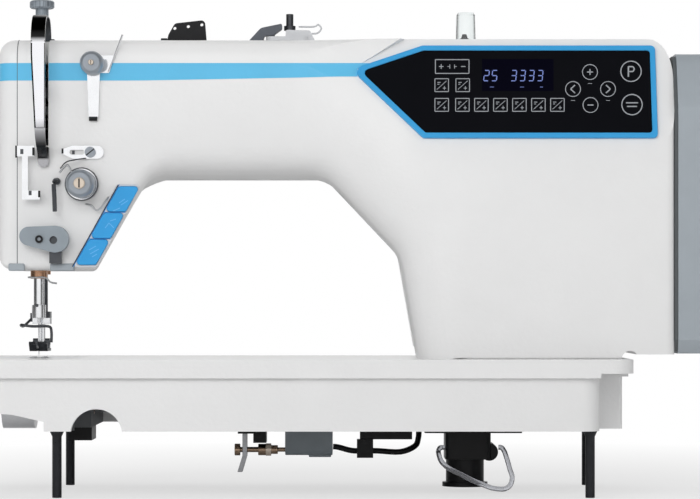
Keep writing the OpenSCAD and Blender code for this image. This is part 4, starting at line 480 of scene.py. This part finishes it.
def digit(ch, x):
    """One digit of the display, from its lit segments."""
    y, w, h, lean = DIGIT_TOP, DIGIT_W, DIGIT_H, DIGIT_LEAN * DIGIT_H
    p = {"tl": (x + lean, y), "tr": (x + w + lean, y), "ml": (x + lean / 2, y + h / 2),
         "mr": (x + w + lean / 2, y + h / 2), "bl": (x, y + h), "br": (x + w, y + h)}
    ends = {"a": ("tl", "tr"), "b": ("tr", "mr"), "c": ("mr", "br"), "d": ("bl", "br"), "e": ("ml", "bl"),
            "f": ("tl", "ml"), "g": ("ml", "mr")}
    out = []
    for s in SEGMENTS[ch]:
        a, b = p[ends[s][0]], p[ends[s][1]]
        gx, gy = (b[0] - a[0]) * SEGMENT_GAP, (b[1] - a[1]) * SEGMENT_GAP
        out.append(bar(a[0] + gx, a[1] + gy, b[0] - gx, b[1] - gy, DIGIT_LINE))
    return out


ink = frame_bars(*WIDE_KEY) + bars(WIDE_KEY_MARKS)
for x, y in SMALL_KEYS:
    ink += frame_bars(x, y, x + SMALL_W, y + SMALL_H, KEY_LINE) + bars(SMALL_KEY_MARKS, x, y)
for x, y in ROUND_KEYS:
    ink += ring_bars(x, y, ROUND_R, KEY_LINE)
ink += bars(ROUND_KEY_MARKS)
for x, y in LARGE_KEYS:
    ink += ring_bars(x, y, LARGE_R, LARGE_LINE)
ink += bars(LARGE_KEY_MARKS + KEY_DASHES)
glow = []
for number, left, step in NUMBERS:
    for i, ch in enumerate(number):
        glow += digit(ch, left + i * step)
glow += bars(DISPLAY_DASHES)
printed("panel_print", ink, lambda x, y: on_panel(x, y, PRINT_LIFT), INK)
printed("panel_display", [DISPLAY], lambda x, y: on_panel(x, y, GLASS_LIFT), GLASS)
printed("panel_digits", glow, lambda x, y: on_panel(x, y, DIGIT_LIFT), DIGITS)

# Blue stripe painted along the arm and round the face plate's front edge
STRIPE_HIGH, STRIPE_LOW, STRIPE_RISE = 198.5, 186.7, 2.5
RISE_FROM, RISE_OVER = 72, 134
STRIPE_ROWS, STRIPE_LIFT = 13, 0.12
FACE_BEND_X, FACE_BEND_R, FACE_WRAP, FACE_STEPS = -13.2, 10.0, 15.7, 10
# The stripe stops at the face plate's seam and at the take-up lever's slot
SEAM_LEFT, SEAM_RIGHT, LEVER_LEFT, LEVER_RIGHT = -10.4, -10.0, 3.5, 10.9
# It has long steps up to FINE_FROM, and fine ones along the curved part up to the panel
FINE_FROM, LONG_STEPS, FINE_STEP, FINE_STEPS = 173, 10, 0.6, 93
TIP_X, TIP_Z, TIP_BLUNT_X, TIP_GAP = 214, 193.46, 218.2, 0.2
TIP_RUN_UP, TIP_RUN_DOWN = 2.92, 1.027


def surface_y(x, z):
    """Front face of the arm at that place, found on its mesh."""
    hit = arm_tree.ray_cast(row((x, RAY_FROM_Y, z)), Vector(REARWARD))[0]
    return hit.y * 1000 + MID_Y if hit else ARM_FRONT


def stripe_low(x):
    """The stripe narrows a little towards the panel."""
    return STRIPE_LOW + STRIPE_RISE * min(max((x - RISE_FROM) / RISE_OVER, 0), 1)


def stripe_end(z):
    """Left edge of the panel's frame at that height."""
    return max(TIP_BLUNT_X, TIP_X + TIP_RUN_UP * (z - TIP_Z), TIP_X + TIP_RUN_DOWN * (TIP_Z - z)) + TIP_GAP


def stripe_point(u, z):
    """u is the way along the stripe: left of the bend it turns the face plate's corner."""
    if u < FACE_BEND_X:
        a = min((FACE_BEND_X - u) / FACE_BEND_R, math.pi / 2)
        r = FACE_BEND_R + STRIPE_LIFT
        return Vector((FACE_BEND_X - r * math.sin(a), ARM_FRONT - STRIPE_LIFT + r * (1 - math.cos(a)), z))
    return Vector((u, surface_y(u, z) - STRIPE_LIFT, z))


def stripe(name, us):
    """A length of the stripe over these ways along it, cut off at the panel's frame."""
    verts, faces, rows = [], [], STRIPE_ROWS
    for u in us:
        for j in range(rows):
            z = stripe_low(u) + (STRIPE_HIGH - stripe_low(u)) * j / (rows - 1)
            verts.append(stripe_point(min(u, stripe_end(z)), z))
    for i in range(len(us) - 1):
        for j in range(rows - 1):
            a = i * rows + j
            faces.append([a, a + rows, a + rows + 1, a + 1])
    o = piece(name, verts, faces, PAINT_BLUE, smooth=True)
    bm = bmesh.new()
    bm.from_mesh(o.data)
    bmesh.ops.remove_doubles(bm, verts=bm.verts, dist=STRIPE_JOIN)
    bm.to_mesh(o.data)
    bm.free()


stripe("stripe_face",
       [FACE_BEND_X - FACE_WRAP * (1 - i / FACE_STEPS) for i in range(FACE_STEPS + 1)] + [SEAM_LEFT])
stripe("stripe_arm", [SEAM_RIGHT, LEVER_LEFT])
stripe("stripe_arm_long",
       [LEVER_RIGHT + (FINE_FROM - LEVER_RIGHT) * i / LONG_STEPS for i in range(LONG_STEPS + 1)]
       + [FINE_FROM + FINE_STEP * i for i in range(1, FINE_STEPS + 1)])

# Symbols on the three head keys: the body they ride on and lines in the photograph's pixels
KEY_FACE_Y, MARK_LINE = ARM_FRONT - 4.55, 0.9
KEY_MARKS = {
    "key_mark_top": ("upper_key", [(119, 203, 125, 199), (121, 205, 128, 200.5), (120, 208, 113, 211)]),
    "key_mark_middle": ("middle_key", [(105, 228, 109, 223), (109, 223, 114, 228), (110, 221, 116, 219)]),
    "key_mark_bottom": ("lower_key", [(89, 250, 96, 246), (90, 254, 99, 249), (92, 257, 97, 254)]),
}
for name, (body, lines) in KEY_MARKS.items():
    printed(name, [bar(*p, MARK_LINE) for p in lines], lambda x, y: at_depth(x, y, KEY_FACE_Y), KEY_INK, body)

# Small trim
TUBE_ROUND, TUBE_STEPS, LATHE_SIDES, POINT_R = 3, 6, 40, 0.01
SCREW_SIDE, SCREW_TOP = 0.7, 0.86
CUT_W, CUT_L, CUT_LIFT = 0.13, 0.78, 0.04


def tube(name, pts, r, mat, body="frame"):
    """A smooth round wire or hose through these points."""
    cu = bpy.data.curves.new(name, "CURVE")
    cu.dimensions = "3D"
    cu.bevel_depth, cu.bevel_resolution, cu.resolution_u = r / 1000, TUBE_ROUND, TUBE_STEPS
    cu.use_fill_caps = True
    sp = cu.splines.new("BEZIER")
    sp.bezier_points.add(len(pts) - 1)
    for b, p in zip(sp.bezier_points, pts):
        b.co = row(p)
        b.handle_left_type = b.handle_right_type = "AUTO"
    cu.materials.append(mat)
    o = link(bpy.data.objects.new(name, cu))
    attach(o, body)
    return o


def lathe(name, centre, axis, profile, mat, body="frame"):
    """A turned piece: profile is [(distance along the axis, radius)], and a profile that ends where it starts
    makes a ring."""
    ring = profile[0] == profile[-1]
    if ring:
        profile = profile[:-1]
    axis = Vector(axis).normalized()
    side = axis.orthogonal().normalized()
    other = axis.cross(side)
    verts, faces, n, k = [], [], LATHE_SIDES, len(profile)
    for i in range(n):
        a = 2 * math.pi * i / n
        d = side * math.cos(a) + other * math.sin(a)
        verts += [Vector(centre) + axis * h + d * r for h, r in profile]
    for i in range(n):
        j = (i + 1) % n
        for q in range(k if ring else k - 1):
            up = (q + 1) % k
            faces.append([i * k + q, j * k + q, j * k + up, i * k + up])
    if not ring:
        faces += [[i * k for i in range(n)][::-1], [i * k + k - 1 for i in range(n)]]
    o = piece(name, verts, faces, mat, body, smooth=True)
    o.data.set_sharp_from_angle(angle=math.radians(TURNED_SHARP))


def boxed(name, xs, ys, zs, mat, bevel):
    """A block with rounded edges."""
    v = [(x, y, z) for x in xs for y in ys for z in zs]
    f = [[0, 1, 3, 2], [4, 6, 7, 5], [0, 4, 5, 1], [2, 3, 7, 6], [0, 2, 6, 4], [1, 5, 7, 3]]
    b = piece(name, v, f, mat).modifiers.new("edge", "BEVEL")
    b.width, b.segments = bevel / 1000, EDGE_STEPS


def screw(name, centre, r, h, mat):
    """A round screw head facing the front, with an upright slot drawn as a flat black sheet: painted shade where
    the slot's hollow would be.
    """
    lathe(name, centre, FRONT, [(0, r), (h * SCREW_SIDE, r), (h, r * SCREW_TOP), (h, POINT_R)], mat)
    c, w, l = Vector(centre), r * CUT_W, r * CUT_L
    # painted shade: a flat black sheet stands for the slot's hollow
    piece(name + "_slot", [c + Vector((x, -h - CUT_LIFT, z)) for x, z in ((-w, -l), (w, -l), (w, l), (-w, l))],
          [[0, 1, 2, 3]], M["black_plastic"])


HOSE_R = 1.7
HOSE = [(277.7, -16, -61), (275.5, -16, -61), (273.8, -19, -62), (273.5, -25, -65.5), (276, -27.5, -71),
        (290, -28, -79.5), (303, -28, -85.5), (313, -28, -88.4), (320, -27.5, -87.5), (323, -27.5, -81.5),
        (321.5, -25.5, -75), (319.5, -21, -67.5), (317.8, -17, -62.8), (316, -15, -61), (314.3, -15, -61)]
hose = tube("oil_hose_look", HOSE, HOSE_R, HOSE_CLEAR, body_of["oil_hose"])
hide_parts("oil_hose")

# Dark line and blue films on the key holder, which follows the head's slanting edge; the dark line along its left
# edge is a painted shadow of the proud holder
HEAD_LOW, HEAD_LOW_X, SLANT_RUN, SLANT_RISE = 59.5, 43, 36.2, 64.5
EDGE_LIP, KEY_W, HOLDER_LIP = 1.9, 14.2, 1.5
KEY_H, KEY_GAP, KEY_LOW = 17.07, 0.8, 62.8
SHADOW_Y, FILM_Y, FILM_INSET = -45.08, -45.06, 0.1


def holder_left(z):
    """Left edge of the key holder."""
    return HEAD_LOW_X + (z - HEAD_LOW) * SLANT_RUN / SLANT_RISE - EDGE_LIP - KEY_W - HOLDER_LIP


def holder_strip(name, heights, offsets, y, mat):
    """A flat strip on the holder, between two heights and two distances from its left edge."""
    strip(name, [(holder_left(z) + d, y, z) for z in heights for d in offsets], mat)


# painted shadow: a black strip along the holder's left edge
holder_strip("key_painted_shadow", (61.6, 116.6), (0.05, 0.85), SHADOW_Y, M["black_plastic"])
holder_strip("key_film_0", (61.6, 116.8), (0.9, 1.35), FILM_Y, FILM_BLUE)
for i in (1, 2):
    z = KEY_LOW + i * (KEY_H + KEY_GAP)
    holder_strip("key_film_%d" % i, (z - KEY_GAP + FILM_INSET, z - FILM_INSET), (1.4, 15.6), FILM_Y, FILM_BLUE)

# Blocks: x, y and z ranges, look and edge rounding
BLOCKS = [
    ("head_trim_left", (-16.2, -5.2), (-42.7, -34), (58.9, 63.9), "grey_plastic", 0.9),
    ("head_trim_right", (11.8, 28.2), (-42.7, -34), (58.9, 63.9), "grey_plastic", 0.9),
    ("bracket_end_left", (-10.7, -9.5), (-50.2, -48.3), (134.6, 142.6), "black_plastic", 0.15),
    ("bracket_end_right", (0.7, 2.2), (-50.2, -48.3), (136.0, 141.4), "black_plastic", 0.15),
    ("bracket_spot", (-7.3, -5.2), (-50.2, -49.4), (136.9, 140.3), "dark_steel", 0.15),
    ("slot_guide_tip", (19.7, 21.0), (-43.8, -42.0), (137.6, 141.0), "black_plastic", 0.15),
    ("slot_guide_mark", (26.6, 28.4), (-42.6, -42.0), (137.2, 139.6), "dark_steel", 0.1),
    ("bracket_low_spot", (-1.7, 0.3), (-50.2, -49.4), (109.4, 112.4), "dark_steel", 0.15),
    ("bracket_low_end", (4.6, 6.0), (-50.2, -48.4), (108.0, 112.4), "black_plastic", 0.15),
    ("guide_toe", (83.9, 88.4), (-6, 6), (215.0, 218.4), "black_plastic", 0.5),
]
for name, xs, ys, zs, slot, bevel in BLOCKS:
    boxed(name, xs, ys, zs, M[slot], bevel)

# Screw heads, wires and turned pieces
# Painted shade: the slot guide screw's slanting cut is a flat black sheet
GUIDE_CUT_AT = (39, -45.78, 138.5)
GUIDE_CUT = ((-3.0, -1.9), (-2.5, -2.5), (3.0, 1.9), (2.5, 2.5))
piece("slot_guide_cut_painted_shade", [(GUIDE_CUT_AT[0] + x, GUIDE_CUT_AT[1], GUIDE_CUT_AT[2] + z) for x, z in GUIDE_CUT],
      [[0, 1, 2, 3]], M["black_plastic"])
screw("pretension_cap", (40.4, -55.2, 198.0), 1.8, 1.2, CREAM)
screw("tension_cap", (TENSION_X, -62.6, TENSION_Z), 3.8, 2.0, CREAM)
tube("tension_wire", [(36, -44, 103.6), (40, -46, 102.8), (43.6, -46, 99.4), (45.4, -46, 100.4), (49, -46, 105),
                      (51.4, -44.5, 108.4)], 0.6, M["steel"])
tube("thread_wire", [(19, -45, 127.6), (23, -47, 131.6), (29, -47, 133.2), (36, -45, 134.4)], 0.42,
     M["dark_steel"])
tube("bar_wire", [(-5.6, -3, 55), (-6.2, -7.4, 54.8), (-3, -8.6, 54.7), (5.6, -8.6, 54.4), (8.7, -7.6, 51.6),
                  (12.8, -6, 50.7)], 0.6, M["steel"])
lathe("top_plug", (36.5, -10, ARM_TOP), UP, [(0, 4), (0.5, 4), (0.9, 3.4), (0.9, POINT_R)], M["black_rubber"])
lathe("needle_screw", (-0.9, -4.5, 35.6), FRONT, [(0, 1.1), (0.5, 1.1), (0.5, POINT_R)], M["dark_steel"],
      body_of["needle_bar"])
lathe("tension_ring", (TENSION_X, -46.0, TENSION_Z), FRONT,
      [(0, 10.4), (0, 11.25), (0.3, 11.25), (0.35, 10.9), (0.35, 10.4), (0, 10.4)], M["dark_steel"])
lathe("rod_nut", (156.2, -20.0, -62.2), RIGHT, [(0, 3.4), (0, 4.2), (3.6, 4.2), (3.6, 3.4)], CREAM,
      body_of["trim_rod"])
lathe("window_core", (292.2, 4.0, ARM_TOP + 1.7), UP,
      [(0, 2.8), (1.4, 2.8), (2.4, 1.5), (5, 0.9), (5, POINT_R)], M["black_plastic"])

# Seam between the face plate and the arm, along the front, round the top edge and over the top
SEAM_X, SEAM_LIFT, TOP_ROUND, TOP_STEPS = (-10.45, -9.95), 0.06, 14, 12
SEAM_FOOT, SEAM_STEP, SEAM_POINTS = 61, 14, 11
SEAM_TOP_Y = (-18, -8, 2, 12, 22)
seam = [(ARM_FRONT - SEAM_LIFT, SEAM_FOOT + SEAM_STEP * i) for i in range(SEAM_POINTS)]
for i in range(1, TOP_STEPS + 1):
    a, r = math.pi / 2 * i / TOP_STEPS, TOP_ROUND + SEAM_LIFT
    seam.append((ARM_FRONT + TOP_ROUND - r * math.cos(a), ARM_TOP - TOP_ROUND + r * math.sin(a)))
seam += [(y, ARM_TOP + SEAM_LIFT) for y in SEAM_TOP_Y]
strip("face_seam", [(x, y, z) for y, z in seam for x in SEAM_X], JOINT_AND_LIP_SHADE)

# Painted reflection along the rolled edges of the take-up guard's strap: black strips where its mirror finish
# reflects the room's shade
GUARD_X, GUARD_REACH = 7.5, 60
ROLL_LOW, ROLL_HIGH, ROLL_STEPS = 154, 212, 24
ROLL_DEPTH, ROLL_INSET, ROLL_LIFT = 0.8, 0.02, 0.05


def guard_hit(start, way):
    """Where a ray meets the guard."""
    return design(guard_tree.ray_cast(row(start), Vector(way))[0])


def painted_edge_reflection(name, side, width):
    """One edge as a black strip, a painted reflection of the room's shade in its mirror finish; side is -1 for
    the left edge and 1 for the right one.
    """
    verts = []
    for i in range(ROLL_STEPS + 1):
        z = ROLL_LOW + (ROLL_HIGH - ROLL_LOW) * i / ROLL_STEPS
        y = guard_hit((GUARD_X, RAY_FROM_Y, z), REARWARD).y
        x = guard_hit((GUARD_X + side * GUARD_REACH, y + ROLL_DEPTH, z), (-side, 0, 0)).x
        verts += [(x - side * ROLL_INSET, y - ROLL_LIFT, z), (x - side * width, y - ROLL_LIFT, z)]
    strip(name, verts, M["black_gloss"])


painted_edge_reflection("guard_left_painted_reflection", -1, 1.0)
painted_edge_reflection("guard_right_painted_reflection", 1, 0.55)

# Studio: a world that is white to the camera, a pale floor and soft lamps
WHITE, FLOOR_GREY = (1, 1, 1, 1), (0.86, 0.86, 0.86, 1)
WORLD_LIGHT, BACKDROP_LIGHT = 0.36, 1.0
SHINE = {"From Min": 0.55, "From Max": 0.86, "To Min": 0.03, "To Max": 1.0}
FLOOR_HALF, FLOOR_NEAR, FLOOR_FAR, FLOOR_DROP, FLOOR_ROUGH = 30, -6, 60, -0.0002, 0.9
FADE = {"From Min": 0.25, "From Max": 0.75, "To Min": 0.62, "To Max": 1.0}


def larger(nt, first, second):
    """The larger of two Light Path values."""
    m = add(nt, "Math", operation="MAXIMUM")
    nt.links.new(first, m.inputs[0])
    nt.links.new(second, m.inputs[1])
    return m.outputs[0]


# Mirrors and clear pieces see a world that is bright to the front and the rear and dim elsewhere
world = bpy.data.worlds.new("studio")
SCENE.world = world
world.use_nodes = True
wn = world.node_tree
bg = wn.nodes["Background"]
bg.inputs["Color"].default_value = WHITE
bg.inputs["Strength"].default_value = WORLD_LIGHT
white = add(wn, "Background", {"Color": WHITE, "Strength": BACKDROP_LIGHT})
shine = add(wn, "Background", {"Color": WHITE})
way = add(wn, "TexCoord")
split = add(wn, "SeparateXYZ")
level = add(wn, "Math", operation="ABSOLUTE")
ahead = add(wn, "MapRange", SHINE)
wn.links.new(way.outputs["Generated"], split.inputs["Vector"])
wn.links.new(split.outputs["Y"], level.inputs[0])
wn.links.new(level.outputs[0], ahead.inputs["Value"])
wn.links.new(ahead.outputs["Result"], shine.inputs["Strength"])
path = add(wn, "LightPath")
mix = add(wn, "MixShader")
wn.links.new(larger(wn, path.outputs["Is Glossy Ray"], path.outputs["Is Transmission Ray"]), mix.inputs["Fac"])
wn.links.new(bg.outputs["Background"], mix.inputs[1])
wn.links.new(shine.outputs["Background"], mix.inputs[2])
last = add(wn, "MixShader")
wn.links.new(path.outputs["Is Camera Ray"], last.inputs["Fac"])
wn.links.new(mix.outputs["Shader"], last.inputs[1])
wn.links.new(white.outputs["Background"], last.inputs[2])
wn.links.new(last.outputs["Shader"], wn.nodes["World Output"].inputs["Surface"])

# The floor fades to the white of the world away from the machine
floor_me = bpy.data.meshes.new("floor")
corners = ((-FLOOR_HALF, FLOOR_NEAR), (FLOOR_HALF, FLOOR_NEAR), (FLOOR_HALF, FLOOR_FAR), (-FLOOR_HALF, FLOOR_FAR))
floor_me.from_pydata([(x, y, FLOOR_DROP) for x, y in corners], [], [[0, 1, 2, 3]])
floor = link(bpy.data.objects.new("floor", floor_me))
fm = bpy.data.materials.new("floor")
fm.use_nodes = True
fn = fm.node_tree
fb = fn.nodes["Principled BSDF"]
fb.inputs["Base Color"].default_value = FLOOR_GREY
fb.inputs["Roughness"].default_value = FLOOR_ROUGH
fe = add(fn, "Emission", {"Strength": BACKDROP_LIGHT})
fx = add(fn, "MixShader")
fp = add(fn, "LightPath")
fg = add(fn, "NewGeometry")
away = add(fn, "VectorMath", operation="LENGTH")
fade = add(fn, "MapRange", FADE)
seen = add(fn, "Math", operation="MULTIPLY")
fn.links.new(fg.outputs["Position"], away.inputs[0])
fn.links.new(away.outputs["Value"], fade.inputs["Value"])
fn.links.new(larger(fn, fp.outputs["Is Camera Ray"], fp.outputs["Is Transmission Ray"]), seen.inputs[0])
fn.links.new(fade.outputs["Result"], seen.inputs[1])
fn.links.new(seen.outputs[0], fx.inputs["Fac"])
fn.links.new(fb.outputs["BSDF"], fx.inputs[1])
fn.links.new(fe.outputs["Emission"], fx.inputs[2])
fn.links.new(fx.outputs["Shader"], fn.nodes["Material Output"].inputs["Surface"])
floor_me.materials.append(fm)

# Lamps: place, what they point at, width, height and power
LAMPS = [
    ("key", (-0.6, -1.9, 1.0), (0, 0, 0.18), 1.3, 0.9, 17),
    ("top", (0.1, 0.1, 1.7), (0, 0, 0.2), 1.6, 0.9, 5.5),
    ("right", (1.7, -0.8, 0.7), (0.1, 0, 0.2), 0.9, 1.2, 5.5),
    ("left", (-1.6, -0.9, 0.5), (-0.1, 0, 0.2), 0.8, 1.2, 5.5),
]
for name, place, target, width, height, power in LAMPS:
    la = bpy.data.lights.new(name, "AREA")
    la.energy, la.shape, la.size, la.size_y = power, "RECTANGLE", width, height
    lamp = link(bpy.data.objects.new(name, la))
    lamp.location = place
    lamp.rotation_mode = "QUATERNION"
    lamp.rotation_quaternion = (Vector(target) - Vector(place)).to_track_quat("-Z", "Y")
    lamp.visible_glossy = False

# Camera, level, with the photograph's horizon set by a shift
SENSOR_W, CLIP_NEAR, CLIP_FAR = 36, 0.05, 100
cam_data = bpy.data.cameras.new("camera")
cam_data.sensor_width = SENSOR_W
cam_data.lens = FOCAL * SENSOR_W / PICTURE_W
cam_data.shift_y = (HORIZON - PICTURE_H / 2) / PICTURE_W
cam_data.clip_start, cam_data.clip_end = CLIP_NEAR, CLIP_FAR
cam = link(bpy.data.objects.new("camera", cam_data))
cam.location = row(EYE)
cam.rotation_euler = (math.radians(90), 0, 0)
SCENE.camera = cam

SCENE.view_settings.view_transform = "Standard"
